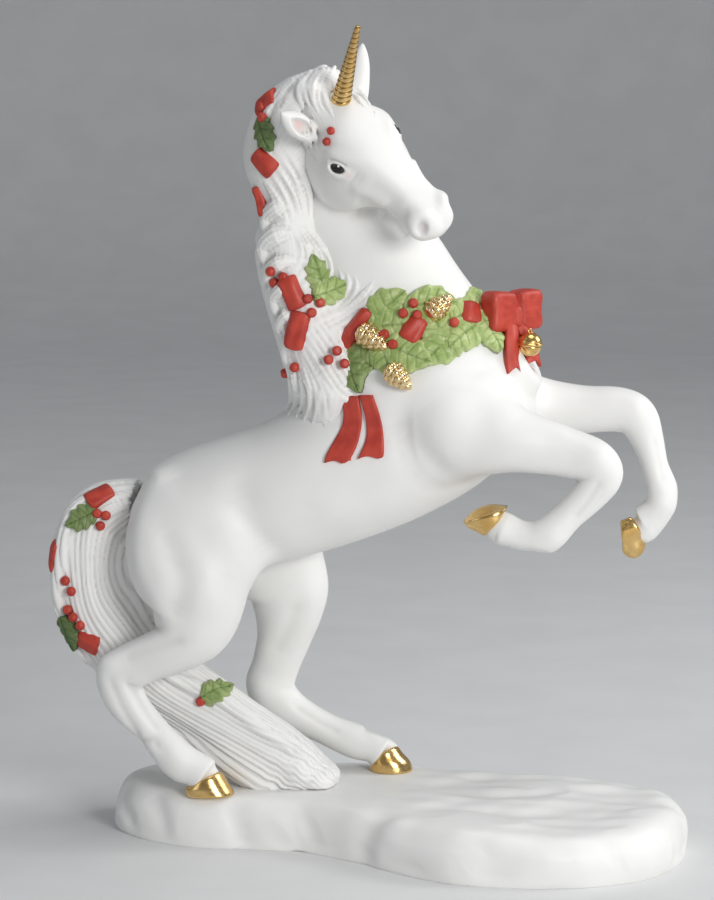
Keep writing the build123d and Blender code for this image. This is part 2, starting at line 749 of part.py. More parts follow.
def make_streamers(layer):
    """Two notched ribbon ends lying on the shoulder."""
    streamers = []
    for row in STREAMER_SHARES:
        corners = [horse_point(x, 0, z) for x, z in row]
        prism = extrude(make_face(Polyline(*corners, close=True)), BARREL_WIDTH, dir=(0, -1, 0))
        streamers.append(prism & layer)
    return streamers


def bow_plane():
    out = Vector(sin(radians(BOW_TURN)), -cos(radians(BOW_TURN)), 0)
    return Plane(horse_point(*BOW_PLACE_SHARES), x_dir=Vector(0, 0, 1).cross(out), z_dir=out)


def make_bow_loop(side):
    plane = bow_plane()
    sections = []
    for along, high, deep in BOW_LOOP_SHARES:
        centre = plane.origin + plane.x_dir * (side * along * BOW_LOOP_LENGTH)
        half_height = high * BOW_LOOP_HEIGHT / 2
        half_depth = deep * BOW_LOOP_DEPTH / 2
        sections.append(ring(centre, plane.z_dir, plane.y_dir, half_depth, half_height, half_height))
    return Solid.make_loft(sections)


def make_bow_knot():
    plane = bow_plane()
    return plane * Pos(0, 0, BOW_LOOP_DEPTH / 2 - KNOT_LENGTH / 2) * Cylinder(KNOT_RADIUS, KNOT_LENGTH)


def make_bow_tail(row):
    """A flat strip of ribbon hanging from the knot."""
    plane = bow_plane()
    sections = []
    for place in row:
        centre = horse_point(*place)
        half = BOW_TAIL_THICKNESS / 2
        sections.append(ring(centre, plane.x_dir, plane.z_dir, BOW_TAIL_WIDTH / 2, half, half))
    return Solid.make_loft(sections)


def make_bell():
    """A round sleigh bell with its slot."""
    centre = horse_point(*BELL_SHARES)
    slot = Pos(0, 0, -BELL_RADIUS) * Box(2 * BELL_RADIUS, BELL_SLOT, BELL_RADIUS)
    return Pos(centre) * (Sphere(BELL_RADIUS) - slot)


def widened(table, depth, width, thickness):
    """A casting with a skin of the given thickness added, from which ribbons are cut."""
    return casting(table, depth + 2 * thickness, width + 2 * thickness)


os.makedirs("parts", exist_ok=True)
parts = {}
base = make_base()
torso = casting(TORSO_SHARES, BARREL_DEPTH, BARREL_WIDTH)
neck = without(casting(NECK_SHARES, NECK_DEPTH, NECK_WIDTH), torso)
head = without(make_head() + make_eye(-1) + make_eye(1), neck)
horn = without(make_horn(), head)
right_ear = without(make_ear(-1, RIGHT_EAR_AXIS, RIGHT_EAR_FRONT), head)
left_ear = without(make_ear(1, LEFT_EAR_AXIS, LEFT_EAR_FRONT), head)
body = [torso, neck, head]
legs = {}
for leg_name, table, depth, width, fold in (
    ("right_hind", NEAR_HIND_SHARES, THIGH_DEPTH, THIGH_WIDTH, 0.0),
    ("left_hind", FAR_HIND_SHARES, THIGH_DEPTH, THIGH_WIDTH, 0.0),
    ("right_fore", NEAR_FORE_SHARES, FOREARM_DEPTH, FOREARM_WIDTH, NEAR_FORE_HOOF_FOLD),
    ("left_fore", FAR_FORE_SHARES, FOREARM_DEPTH, FOREARM_WIDTH, FAR_FORE_HOOF_FOLD),
):
    leg = casting(table, depth, width)
    legs[leg_name] = without(leg, torso)
    parts[f"{leg_name}_leg"] = legs[leg_name]
    parts[f"{leg_name}_hoof"] = without(make_hoof(table, depth, width, fold), leg)
tail = without(casting(TAIL_SHARES, TAIL_DEPTH, TAIL_WIDTH), torso, base, *legs.values())
mane = largest(without(casting(MANE_SHARES, MANE_DEPTH, MANE_WIDTH), *body, right_ear))
forelock = [without(lock, head, horn, right_ear, left_ear, mane) for lock in make_forelock()]
mane_locks = []
for row in MANE_LOCK_SHARES:
    lock = tapered_rod([horse_point(*place) for place in row], LOCK_RADIUS)
    mane_locks.append(without(lock, mane))
tail_locks = []
for row in TAIL_LOCK_SHARES:
    lock = make_lock(TAIL_SHARES, TAIL_DEPTH, TAIL_WIDTH, row, LOCK_RADIUS)
    tail_locks.append(without(lock, tail, base))
parts["base"] = base
parts["torso"] = torso
parts["neck"] = neck
parts["head"] = head
parts["horn"] = horn
parts["right_ear"] = right_ear
parts["left_ear"] = left_ear
parts["mane"] = mane
parts["forelock"] = group(forelock)
parts["mane_locks"] = group(mane_locks)
parts["tail"] = tail
parts["tail_locks"] = group(tail_locks)
chest = [neck, torso]
cones = [make_cone(chest, places) for places in GARLAND_CONE_SHARES]
berries = [without(make_berry(chest + [mane], places), *cones) for places in GARLAND_BERRY_SHARES]
bands = [without(make_ribbon_band(chest, places), *cones, *berries) for places in GARLAND_RIBBON_SHARES]
parts["garland_cones"] = group(cones)
parts["garland_berries"] = group(berries)
parts["garland_ribbons"] = group(bands)
bell = make_bell()
knot = without(make_bow_knot(), *chest)
loops = [without(make_bow_loop(side), knot, *chest) for side in (-1, 1)]
bow_tails = [without(make_bow_tail(row), bell, knot, *loops, *chest) for row in BOW_TAIL_SHARES]
bow = [bell, knot] + loops + bow_tails
leaves = []
for places in GARLAND_LEAF_SHARES:
    leaf = make_leaf(chest, places)
    leaves.append(largest(without(leaf, *cones, *berries, *bands, *bow, *leaves)))
parts["garland_leaves"] = group(leaves)
parts["sleigh_bell"] = bell
parts["bow_knot"] = knot
parts["bow_loops"] = group(loops)
parts["bow_tails"] = group(bow_tails)
streamer_layer = widened(TORSO_SHARES, BARREL_DEPTH, BARREL_WIDTH, STREAMER_THICKNESS)
streamers = [without(strip, *chest) for strip in make_streamers(streamer_layer)]
parts["shoulder_streamers"] = group(streamers)
for word, carrier, locks, ribbon_rows, leaf_rows, berry_rows in (
    ("mane", mane, mane_locks, MANE_RIBBON_SHARES, MANE_LEAF_SHARES, MANE_BERRY_SHARES),
    ("tail", tail, tail_locks, TAIL_RIBBON_SHARES, TAIL_LEAF_SHARES, TAIL_BERRY_SHARES),
):
    own_bands = [without(make_ribbon_band([carrier], places), *locks) for places in ribbon_rows]
    own_berries = [without(make_berry([carrier], places), *locks, *own_bands) for places in berry_rows]
    own_leaves = []
    for places in leaf_rows:
        leaf = make_leaf([carrier], places)
        own_leaves.append(largest(without(leaf, *locks, *own_bands, *own_berries)))
    parts[f"{word}_ribbons"] = group(own_bands)
    parts[f"{word}_berries"] = group(own_berries)
    parts[f"{word}_leaves"] = group(own_leaves)
parts["forehead_berries"] = group([make_berry([head], places) for places in FOREHEAD_BERRY_SHARES])
for name, solid in parts.items():
    export_step(solid, f"parts/{name}.step")
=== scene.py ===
import math

import bpy
import numpy as np
import openvdb as vdb
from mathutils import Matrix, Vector
from mathutils.bvhtree import BVHTree


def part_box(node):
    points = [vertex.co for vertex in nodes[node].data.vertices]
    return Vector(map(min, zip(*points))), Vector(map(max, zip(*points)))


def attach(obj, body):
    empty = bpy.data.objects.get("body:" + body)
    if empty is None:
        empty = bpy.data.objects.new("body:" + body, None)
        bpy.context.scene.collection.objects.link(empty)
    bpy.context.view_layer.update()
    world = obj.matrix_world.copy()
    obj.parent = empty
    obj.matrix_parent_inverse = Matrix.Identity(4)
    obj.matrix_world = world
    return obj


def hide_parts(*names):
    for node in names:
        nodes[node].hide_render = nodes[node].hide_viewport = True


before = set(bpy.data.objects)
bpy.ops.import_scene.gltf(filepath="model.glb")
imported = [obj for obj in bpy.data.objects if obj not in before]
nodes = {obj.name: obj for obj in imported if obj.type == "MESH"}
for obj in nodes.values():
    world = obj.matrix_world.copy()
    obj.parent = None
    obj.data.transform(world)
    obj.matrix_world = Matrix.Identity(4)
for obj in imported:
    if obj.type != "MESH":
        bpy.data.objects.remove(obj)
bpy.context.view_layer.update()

# Lengths are in mm until meshes are made
MM_PER_M = 1000
M_PER_MM = 0.001

# Camera: the photo's angle, and its focal length in the photo's pixels
AZIMUTH, ELEVATION, DISTANCE, LENS = 12.0, 8.0, 800.0, 117.1
TARGET = np.array([-12.0, 0.0, 108.0])
FOCAL_PIXELS = 2928.0
PHOTO = (714, 900)
SENSOR_WIDTH, NEAREST_SEEN = 36.0, 0.01
# Along a ray from the camera: past everything, and about at the object's far side
BEYOND, FAR_SIDE = 1100, 820


def camera_axes():
    a, e = math.radians(AZIMUTH), math.radians(ELEVATION)
    back = np.array([math.sin(a) * math.cos(e), -math.cos(a) * math.cos(e), math.sin(e)])
    right = np.array([math.cos(a), math.sin(a), 0.0])
    return right, np.cross(back, right), back


def pixel_ray(px, py):
    right, up, back = camera_axes()
    eye = TARGET + back * DISTANCE
    d = right * (px - PHOTO[0] / 2) - up * (py - PHOTO[1] / 2) - back * FOCAL_PIXELS
    return eye, d / np.linalg.norm(d)


def pixels_of(x, y, z):
    """The photo's pixels under points in mm, and how far those points are from the camera."""
    right, up, back = camera_axes()
    eye = TARGET + back * DISTANCE
    dx, dy, dz = x - eye[0], y - eye[1], z - eye[2]
    depth = -(dx * back[0] + dy * back[1] + dz * back[2])
    px = PHOTO[0] / 2 + FOCAL_PIXELS * (dx * right[0] + dy * right[1] + dz * right[2]) / depth
    py = PHOTO[1] / 2 - FOCAL_PIXELS * (dx * up[0] + dy * up[1] + dz * up[2]) / depth
    return px, py, depth


def node_mesh(*names):
    """Vertices in mm and triangles of CAD nodes."""
    points, faces, start = [], [], 0
    for name in names:
        me = nodes[name].data
        me.calc_loop_triangles()
        v = np.empty(len(me.vertices) * 3, np.float32)
        me.vertices.foreach_get("co", v)
        t = np.empty(len(me.loop_triangles) * 3, np.int32)
        me.loop_triangles.foreach_get("vertices", t)
        points.append(v.reshape(-1, 3) * MM_PER_M)
        faces.append(t.reshape(-1, 3) + start)
        start += len(me.vertices)
    return np.concatenate(points), np.concatenate(faces)


def tree_of(*names):
    """A search tree over CAD nodes."""
    v, f = node_mesh(*names)
    return BVHTree.FromPolygons([tuple(p) for p in v.astype(float)], [tuple(t) for t in f.tolist()])


def skin_point(tree, px, py):
    """Where the photo's pixel meets a surface, in mm."""
    eye, d = pixel_ray(px, py)
    hit = tree.ray_cast(Vector(eye), Vector(d))[0]
    if hit is None:
        hit = tree.find_nearest(Vector(eye + d * DISTANCE))[0]
    return np.array(hit)


def far_point(tree, px, py):
    """Where the photo's pixel meets a surface's far side, in mm."""
    eye, d = pixel_ray(px, py)
    hit = tree.ray_cast(Vector(eye + d * BEYOND), Vector(-d))[0]
    if hit is None:
        hit = tree.find_nearest(Vector(eye + d * FAR_SIDE))[0]
    return np.array(hit)


def core(tree, px, py):
    """The middle of a shape under the photo's pixel, in mm."""
    return (skin_point(tree, px, py) + far_point(tree, px, py)) / 2


def smooth_line(points, count):
    """Points spaced along a smooth curve through a few given ones."""
    p = np.array(points, float)
    p = np.vstack([2 * p[0] - p[1], p, 2 * p[-1] - p[-2]])
    out = []
    spans = len(p) - 3
    for k in range(count):
        u = k / (count - 1) * spans
        i = min(int(u), spans - 1)
        t = u - i
        a, b, c, d = p[i : i + 4]
        cubic = (2 * a - 5 * b + 4 * c - d) * t * t + (3 * b - a - 3 * c + d) * t**3
        out.append(0.5 * (2 * b + (c - a) * t + cubic))
    return np.array(out)


def skin_tree(*skins):
    """A search tree over meshes, each given as points and faces."""
    points, faces, start = [], [], 0
    for p, q in skins:
        points += p.tolist()
        faces += (q + start).tolist()
        start += len(p)
    return BVHTree.FromPolygons(points, faces)


# Sculpting in a signed distance field


class Clay:
    """A block of distance values round a shape, negative inside it."""

    def __init__(self, lo, hi, voxel):
        self.h = voxel
        self.lo = np.floor(np.array(lo) / voxel).astype(int)
        self.n = np.ceil(np.array(hi) / voxel).astype(int) - self.lo + 1
        self.d = None

    def read(self, *names, band):
        """Distances to CAD nodes, to so many voxels from their surface."""
        return self.fill(*node_mesh(*names), band)

    def fill(self, points, faces, band):
        grid = vdb.FloatGrid.createLevelSetFromPolygons(
            points.astype(np.float32),
            triangles=faces.astype(np.uint32),
            transform=vdb.createLinearTransform(voxelSize=self.h),
            halfWidth=band,
        )
        out = np.empty(tuple(self.n), np.float32)
        grid.copyToArray(out, ijk=tuple(int(x) for x in self.lo))
        return out

    def window(self, lo, hi):
        """Slices and coordinate arrays of the part of the block between two corners."""
        a = np.clip(np.floor(np.array(lo) / self.h).astype(int) - self.lo, 0, self.n)
        b = np.clip(np.ceil(np.array(hi) / self.h).astype(int) - self.lo + 1, 0, self.n)
        s = tuple(slice(int(i), int(j)) for i, j in zip(a, b))
        x, y, z = ((np.arange(i, j) + low).astype(np.float32) * self.h for i, j, low in zip(a, b, self.lo))
        return s, x[:, None, None], y[None, :, None], z[None, None, :]

    def bump(self, centre, radius, height):
        """Raises, or with a negative height sinks, a soft mound."""
        c = np.array(centre, float)
        reach = radius * 2.6
        s, x, y, z = self.window(c - reach, c + reach)
        dx, dy, dz = x - c[0], y - c[1], z - c[2]
        r2 = (dx * dx + dy * dy + dz * dz) / radius**2
        self.d[s] -= np.float32(height) * np.exp(-r2)

    def groove(self, points, width, depth):
        """Sinks a soft groove, or with a negative depth raises a ridge, along a line of points."""
        p = np.array(points, float)
        lo, hi = p.min(0) - 3 * width, p.max(0) + 3 * width
        s, x, y, z = self.window(lo, hi)
        best = None
        spans = len(p) - 1
        for k in range(spans):
            a, ab = p[k], p[k + 1] - p[k]
            t = ((x - a[0]) * ab[0] + (y - a[1]) * ab[1] + (z - a[2]) * ab[2]) / max(ab @ ab, 1e-9)
            t = np.clip(t, 0, 1)
            r2 = (x - a[0] - t * ab[0]) ** 2 + (y - a[1] - t * ab[1]) ** 2 + (z - a[2] - t * ab[2]) ** 2
            u = (k + t) / spans
            w = np.exp(-r2 / width**2) * np.minimum(1, np.minimum(u, 1 - u) * 5 + 0.15)
            best = w if best is None else np.maximum(best, w)
        self.d[s] += np.float32(depth) * best.astype(np.float32)

    def rod(self, points, radii, blend):
        """Joins a tapering rod through points."""
        p = np.array(points, float)
        r = np.array(radii, float)
        reach = r.max() + blend + 2
        s, x, y, z = self.window(p.min(0) - reach, p.max(0) + reach)
        best = None
        for k in range(len(p) - 1):
            a, ab = p[k], p[k + 1] - p[k]
            t = ((x - a[0]) * ab[0] + (y - a[1]) * ab[1] + (z - a[2]) * ab[2]) / max(ab @ ab, 1e-9)
            t = np.clip(t, 0, 1)
            r2 = (x - a[0] - t * ab[0]) ** 2 + (y - a[1] - t * ab[1]) ** 2 + (z - a[2] - t * ab[2]) ** 2
            d = np.sqrt(r2) - (r[k] + t * (r[k + 1] - r[k]))
            best = d if best is None else np.minimum(best, d)
        self.d[s] = smooth_join(self.d[s], best.astype(np.float32), blend)

    def blur(self, rounds):
        for _ in range(rounds):
            for axis in range(3):
                m = np.moveaxis(self.d, axis, 0)
                m[1:-1] = 0.25 * m[:-2] + 0.5 * m[1:-1] + 0.25 * m[2:]

    def sample(self, values, points):
        """Values between voxels, at points in mm."""
        q = np.clip(points / self.h - self.lo, 0, np.array(values.shape) - 1.001)
        i = q.astype(np.int32)
        f = (q - i).astype(np.float32)
        out = 0
        for cx in (0, 1):
            for cy in (0, 1):
                for cz in (0, 1):
                    w = (f[:, 0] if cx else 1 - f[:, 0]) * (f[:, 1] if cy else 1 - f[:, 1])
                    w = w * (f[:, 2] if cz else 1 - f[:, 2])
                    out = out + w * values[i[:, 0] + cx, i[:, 1] + cy, i[:, 2] + cz]
        return out

    def skin(self):
        """Points in mm, quads and outward normals of the surface."""
        grid = vdb.FloatGrid(float(self.h * 4))
        grid.transform = vdb.createLinearTransform(voxelSize=self.h)
        grid.copyFromArray(np.clip(self.d, -self.h * 4, self.h * 4), ijk=tuple(int(x) for x in self.lo))
        points, quads = grid.convertToQuads(isovalue=0.0)
        points = np.array(points, np.float64)
        quads = np.array(quads, np.int64)
        ahead = [self.sample(self.d, points + step) for step in np.eye(3) * self.h]
        behind = [self.sample(self.d, points - step) for step in np.eye(3) * self.h]
        normals = np.stack(ahead, 1) - np.stack(behind, 1)
        normals /= np.maximum(np.linalg.norm(normals, axis=1), 1e-9)[:, None]
        q = points[quads[:, :4]]
        face = np.cross(q[:, 2] - q[:, 0], q[:, 3] - q[:, 1])
        if (face * normals[quads[:, 0]]).sum() < 0:
            quads = quads[:, ::-1]
        return points, quads, normals


def smooth_join(a, b, k):
    """Both of two shapes, with a soft seam k wide."""
    h = np.maximum(k - np.abs(a - b), 0) / k
    return np.minimum(a, b) - h * h * (k * 0.25)


def smooth_cut(a, b, k):
    """The first shape without the second, with a soft edge k wide."""
    return -smooth_join(-a, b, k)


def make_piece(name, points, faces, material, nodes_for, normals=None, marks=None):
    """A mesh object from points in mm."""
    me = bpy.data.meshes.new(name)
    points = np.asarray(points, np.float64)
    faces = np.asarray(faces, np.int64)
    me.vertices.add(len(points))
    me.vertices.foreach_set("co", (points * M_PER_MM).astype(np.float32).ravel())
    width = faces.shape[1]
    me.loops.add(faces.size)
    me.loops.foreach_set("vertex_index", faces.astype(np.int32).ravel())
    me.polygons.add(len(faces))
    me.polygons.foreach_set("loop_start", np.arange(0, faces.size, width, dtype=np.int32))
    me.update(calc_edges=True)
    me.polygons.foreach_set("use_smooth", np.ones(len(faces), bool))
    for key, values in (marks or {}).items():
        me.attributes.new(key, "FLOAT", "POINT").data.foreach_set("value", np.asarray(values, np.float32))
    me.validate()
    if normals is not None:
        me.normals_split_custom_set_from_vertices(np.asarray(normals, np.float32))
    ob = bpy.data.objects.new(name, me)
    bpy.context.scene.collection.objects.link(ob)
    me.materials.append(material)
    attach(ob, "root")
    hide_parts(*nodes_for)


def bisque_piece(name, nodes_for, points, quads, normals, marks):
    make_piece(name, points, quads, BISQUE, nodes_for=nodes_for, normals=normals, marks=marks)


def plain_marks(hollow):
    """Marks of bare porcelain: painted shade in its creases, and no blush."""
    return {"cavity": hollow, "blush": np.zeros(len(hollow))}


# Materials


class Nodes:
    """A material's node tree, with short ways to add to it."""

    def __init__(self, name):
        self.material = bpy.data.materials.new(name)
        self.material.use_nodes = True
        self.tree = self.material.node_tree
        self.shader = self.tree.nodes["Principled BSDF"]

    def add(self, kind, inputs=None, **settings):
        node = self.tree.nodes.new("ShaderNode" + kind)
        for key, value in settings.items():
            setattr(node, key, value)
        for key, value in (inputs or {}).items():
            self.put(node.inputs[key], value)
        return node

    def put(self, socket, value):
        if isinstance(value, bpy.types.NodeSocket):
            self.tree.links.new(value, socket)
        else:
            socket.default_value = value

    def mix(self, factor, first, second):
        node = self.tree.nodes.new("ShaderNodeMix")
        node.data_type = "RGBA"
        for socket, value in ((node.inputs[0], factor), (node.inputs[6], first), (node.inputs[7], second)):
            if not isinstance(value, bpy.types.NodeSocket) and socket != node.inputs[0] and len(value) == 3:
                value = (*value, 1.0)
            self.put(socket, value)
        return node.outputs[2]

    def noise(self, scale, detail):
        place = self.add("TexCoord").outputs["Object"]
        return self.add("TexNoise", {"Vector": place, "Scale": scale, "Detail": detail}).outputs["Fac"]

    def ramp(self, value, low, high, to_low=0.0, to_high=1.0):
        node = self.add("MapRange", {"Value": value, 1: low, 2: high, 3: to_low, 4: to_high})
        node.interpolation_type = "SMOOTHSTEP"
        return node.outputs[0]

    def mark(self, key):
        return self.add("Attribute", attribute_name=key).outputs["Fac"]

    def bump(self, height, strength, distance):
        inputs = {"Height": height, "Strength": strength, "Distance": distance}
        return self.add("Bump", inputs).outputs["Normal"]


def bisque_material():
    """Unglazed white porcelain: soft sheen, faint tooth, painted shade in its crevices and a pink blush."""
    m = Nodes("bisque")
    broad = m.noise(45.0, 3.0)
    grain = m.noise(2200.0, 2.0)
    white = m.mix(m.ramp(broad, 0.35, 0.65), (0.795, 0.792, 0.775), (0.825, 0.822, 0.808))
    # painted shade: the deeper a point lies in a crease, the greyer its colour
    shaded = m.mix(m.ramp(m.mark("cavity"), 0.0, 1.0, 0.0, 0.62), white, (0.56, 0.545, 0.52))
    tinted = m.mix(m.ramp(m.mark("blush"), 0.0, 1.0, 0.0, 0.8), shaded, (0.80, 0.50, 0.45))
    m.put(m.shader.inputs["Base Color"], tinted)
    m.put(m.shader.inputs["Roughness"], m.ramp(grain, 0.3, 0.7, 0.46, 0.56))
    m.shader.inputs["Subsurface Weight"].default_value = 0.08
    m.shader.inputs["Subsurface Radius"].default_value = (1.0, 0.8, 0.7)
    m.shader.inputs["Subsurface Scale"].default_value = 0.0010
    m.shader.inputs["Specular IOR Level"].default_value = 0.4
    m.put(m.shader.inputs["Normal"], m.bump(grain, 0.05, 0.0002))
    return m.material


def gold_material():
    """Burnished gilding with faint brush marks, and painted shade in the horn's grooves."""
    m = Nodes("gilding")
    broad = m.noise(180.0, 4.0)
    fine = m.noise(1500.0, 3.0)
    colour = m.mix(m.ramp(broad, 0.35, 0.65), (0.72, 0.46, 0.16), (0.80, 0.56, 0.24))
    bright = m.mix(m.mark("pale"), colour, (0.92, 0.78, 0.52))
    # painted shade: where the horn's ridge sinks, the gilding darkens to deep brown
    m.put(m.shader.inputs["Base Color"], m.mix(m.mark("sunk"), bright, (0.22, 0.11, 0.03)))
    m.shader.inputs["Metallic"].default_value = 1.0
    m.put(m.shader.inputs["Roughness"], m.ramp(fine, 0.3, 0.7, 0.16, 0.28))
    m.put(m.shader.inputs["Normal"], m.bump(broad, 0.12, 0.0003))
    return m.material


def red_material():
    """Matt brick-red paint, uneven as a brush leaves it."""
    m = Nodes("ribbon_red")
    broad = m.noise(260.0, 4.0)
    grain = m.noise(2400.0, 2.0)
    colour = m.mix(m.ramp(broad, 0.3, 0.7), (0.40, 0.032, 0.019), (0.52, 0.056, 0.032))
    m.put(m.shader.inputs["Base Color"], colour)
    m.put(m.shader.inputs["Roughness"], m.ramp(grain, 0.3, 0.7, 0.42, 0.55))
    m.put(m.shader.inputs["Normal"], m.bump(grain, 0.08, 0.0002))
    return m.material


def green_material():
    """Matt holly green, pale at the edges, with painted shade along the sunk midrib and veins."""
    m = Nodes("holly_green")
    broad = m.noise(240.0, 4.0)
    grain = m.noise(2000.0, 2.0)
    streaks = m.noise(620.0, 5.0)
    wash = m.mix(m.ramp(broad, 0.3, 0.7), (0.255, 0.370, 0.100), (0.430, 0.520, 0.200))
    leaf = m.mix(m.ramp(streaks, 0.5, 0.72, 0.0, 0.7), wash, (0.600, 0.670, 0.360))
    # painted shade in the sunk midrib and veins
    veins = m.mix(m.ramp(m.mark("vein"), 0.0, 1.0, 0.0, 0.55), leaf, (0.120, 0.205, 0.040))
    edges = m.mix(m.ramp(m.mark("rim"), 0.0, 1.0, 0.0, 0.6), veins, (0.50, 0.58, 0.28))
    m.put(m.shader.inputs["Base Color"], m.mix(m.mark("dark"), edges, (0.040, 0.085, 0.022)))
    m.put(m.shader.inputs["Roughness"], m.ramp(grain, 0.3, 0.7, 0.45, 0.58))
    m.put(m.shader.inputs["Normal"], m.bump(grain, 0.08, 0.0002))
    return m.material


def eye_material():
    """A painted and glazed eye: dark iris, black pupil and a painted white highlight."""
    m = Nodes("painted_eye")
    flecks = m.noise(900.0, 3.0)
    iris = m.mix(m.ramp(flecks, 0.3, 0.7), (0.016, 0.012, 0.010), (0.050, 0.034, 0.024))
    around = m.mix(m.ramp(m.mark("iris"), 0.0, 1.0), (0.55, 0.40, 0.36), iris)
    pupil = m.mix(m.ramp(m.mark("pupil"), 0.0, 1.0), around, (0.006, 0.006, 0.007))
    # painted highlight: a white spot on the eye
    m.put(m.shader.inputs["Base Color"], m.mix(m.mark("glint"), pupil, (0.82, 0.83, 0.85)))
    m.put(m.shader.inputs["Roughness"], m.ramp(flecks, 0.3, 0.7, 0.10, 0.18))
    return m.material


BISQUE = bisque_material()
GOLD = gold_material()
RED = red_material()
GREEN = green_material()
EYE = eye_material()


# The head's turn, lift and tilt in degrees, its length, width and depth, and where its axes start
HEAD_ANGLES = (-60.0, 34.0, 35.0)
HEAD_LENGTH, HEAD_WIDTH, HEAD_DEPTH = 46.5, 22.0, 25.0
HEAD_AT = np.array([-16.88, -20.16, 202.24])


def head_axes():
    """The head's own axes: down the face, to its left, and out of its forehead."""
    turn, lift, tilt = (math.radians(x) for x in HEAD_ANGLES)
    out = np.array([math.cos(turn) * math.cos(lift), math.sin(turn) * math.cos(lift), math.sin(lift)])
    level = np.array([-math.sin(turn), math.cos(turn), 0.0])
    left = level * math.cos(tilt) + np.cross(out, level) * math.sin(tilt)
    return np.cross(left, out), left, out


DOWN, LEFT, OUT = head_axes()


def on_head(down, left, out):
    """A place given as shares of the head's length, width and depth."""
    return HEAD_AT + DOWN * (down * HEAD_LENGTH) + LEFT * (left * HEAD_WIDTH) + OUT * (out * HEAD_DEPTH)


# Blocks of clay as two corners, and how fine each is
BODY_BLOCK, BODY_VOXEL = ((-90, -31, 10), (84, 31, 208)), 0.5
HEAD_BLOCK, HEAD_VOXEL = ((-44, -50, 150), (26, 12, 226)), 0.28
MANE_BLOCK, TAIL_BLOCK, HAIR_VOXEL = ((-48, -42, 106), (8, 26, 218)), ((-104, -16, 9), (-10, 16, 104)), 0.38
BASE_BLOCK, BASE_VOXEL = ((-88, -48, -3), (86, 37, 19)), 0.55
HOOF_VOXEL, BOW_VOXEL = 0.25, 0.22
# How far from a surface, in mm, the distances are read
BODY_BAND, HEAD_BAND, HAIR_BAND, EAR_BAND = 9, 6, 5, 4
BODY_NODES = ["torso", "neck", "right_hind_leg", "left_hind_leg", "right_fore_leg", "left_fore_leg"]
BODY_TREE = tree_of(*BODY_NODES)
HEAD_TREE = tree_of("head")
HEAD_AND_NECK = tree_of("head", "neck")
# How softly each casting joins those before it, in mm
SEAMS = {
    "neck": 12.0, "right_hind_leg": 9.0, "left_hind_leg": 7.0, "right_fore_leg": 7.0,
    "left_fore_leg": 6.0,
}
# Muscle lines under the photo's pixels: pixels along each, width and depth in mm; negative depths are ridges
BODY_GROOVES = [
    ([(270, 556), (258, 532), (246, 506), (238, 484)], 5.0, 1.1),
    ([(160, 528), (173, 552), (183, 577), (180, 600), (170, 622)], 4.2, 0.9),
    ([(146, 520), (156, 548), (164, 578), (164, 600)], 3.6, -0.4),
    ([(196, 530), (208, 548), (222, 568), (229, 588)], 4.4, 0.6),
    ([(190, 640), (168, 644), (140, 652), (120, 660)], 2.4, 0.6),
    ([(108, 672), (122, 705), (140, 738), (155, 760)], 1.6, 0.5),
    ([(126, 676), (142, 705), (164, 738)], 1.6, 0.45),
    ([(300, 600), (290, 630), (276, 655)], 3.0, 0.7),
    ([(290, 702), (320, 722), (345, 735)], 1.5, 0.4),
    ([(398, 428), (412, 444), (428, 460), (446, 472)], 5.0, 0.9),
    ([(424, 404), (422, 424), (426, 444), (434, 462)], 5.0, 0.7),
    ([(470, 402), (482, 420), (478, 446), (458, 468)], 5.0, 0.5),
    ([(500, 408), (520, 412), (545, 422), (568, 430)], 3.6, -0.4),
    ([(505, 424), (530, 430), (556, 440)], 3.6, 0.3),
    ([(520, 458), (550, 458), (580, 460)], 3.4, 0.3),
    ([(604, 478), (590, 500), (572, 522)], 1.6, 0.45),
    ([(654, 432), (660, 460), (666, 488)], 1.6, 0.4),
    ([(316, 500), (340, 512), (372, 508), (404, 492)], 6.0, -0.5),
]
# Faint hollows between the ribs: how many, the first one's top pixel, and the step to the next
RIBS, RIB_START, RIB_STEP = 4, (318, 462), (20, -10)
# Swellings: pixel, radius and height in mm
BODY_BUMPS = [
    (205, 505, 13, 0.9), (150, 560, 10, 0.6), (196, 585, 8, 0.8), (226, 610, 8, 0.7),
    (107, 662, 4.0, 0.7), (176, 756, 3.0, 0.5), (262, 690, 3.6, 0.6), (440, 425, 9, 0.9),
    (515, 440, 8, 0.6), (600, 455, 4.2, 0.6), (556, 540, 3.2, 0.5), (638, 405, 3.6, 0.5),
    (662, 505, 3.0, 0.5), (300, 470, 16, 0.5),
]


# Legs below the fetlock: for each hoof its leg, the pastern (pixel and radius), the patch without gilding,
# and the hoof's swelling (pixel, half its width, height and depth, and its lean in degrees)
HOOF_WORK = {
    "right_fore_hoof": (
        "right_fore_leg",
        [(521, 536, 3.1), (509, 530, 3.5), (498, 526, 4.1)],
        [(508, 506), (498, 522), (482, 538), (480, 560), (522, 560), (522, 500)],
        (486, 517, 5.4, 2.9, 3.6, -20),
    ),
    "left_fore_hoof": (
        "left_fore_leg",
        [(661, 505, 3.3), (652, 520, 3.5), (644, 529, 3.8)],
        [(612, 500), (622, 521), (631, 517), (640, 530), (649, 547), (664, 547), (664, 498)],
        (634, 545, 3.0, 3.6, 3.4, 10),
    ),
    "right_hind_hoof": (
        "right_hind_leg",
        [(188, 766, 3.8), (200, 771, 3.3), (210, 777, 2.7)],
        [(178, 780), (188, 786), (205, 779), (219, 772), (231, 774), (242, 770), (242, 745), (178, 745)],
        (200, 789, 4.0, 2.2, 4.2, -8),
    ),
    "left_hind_hoof": (
        "left_hind_leg",
        [(378, 739, 3.1), (389, 748, 2.6)],
        [(366, 756), (376, 758), (386, 751), (397, 746), (409, 752), (420, 753), (420, 728), (366, 728)],
        (390, 763, 5.0, 2.2, 4.2, 0),
    ),
}
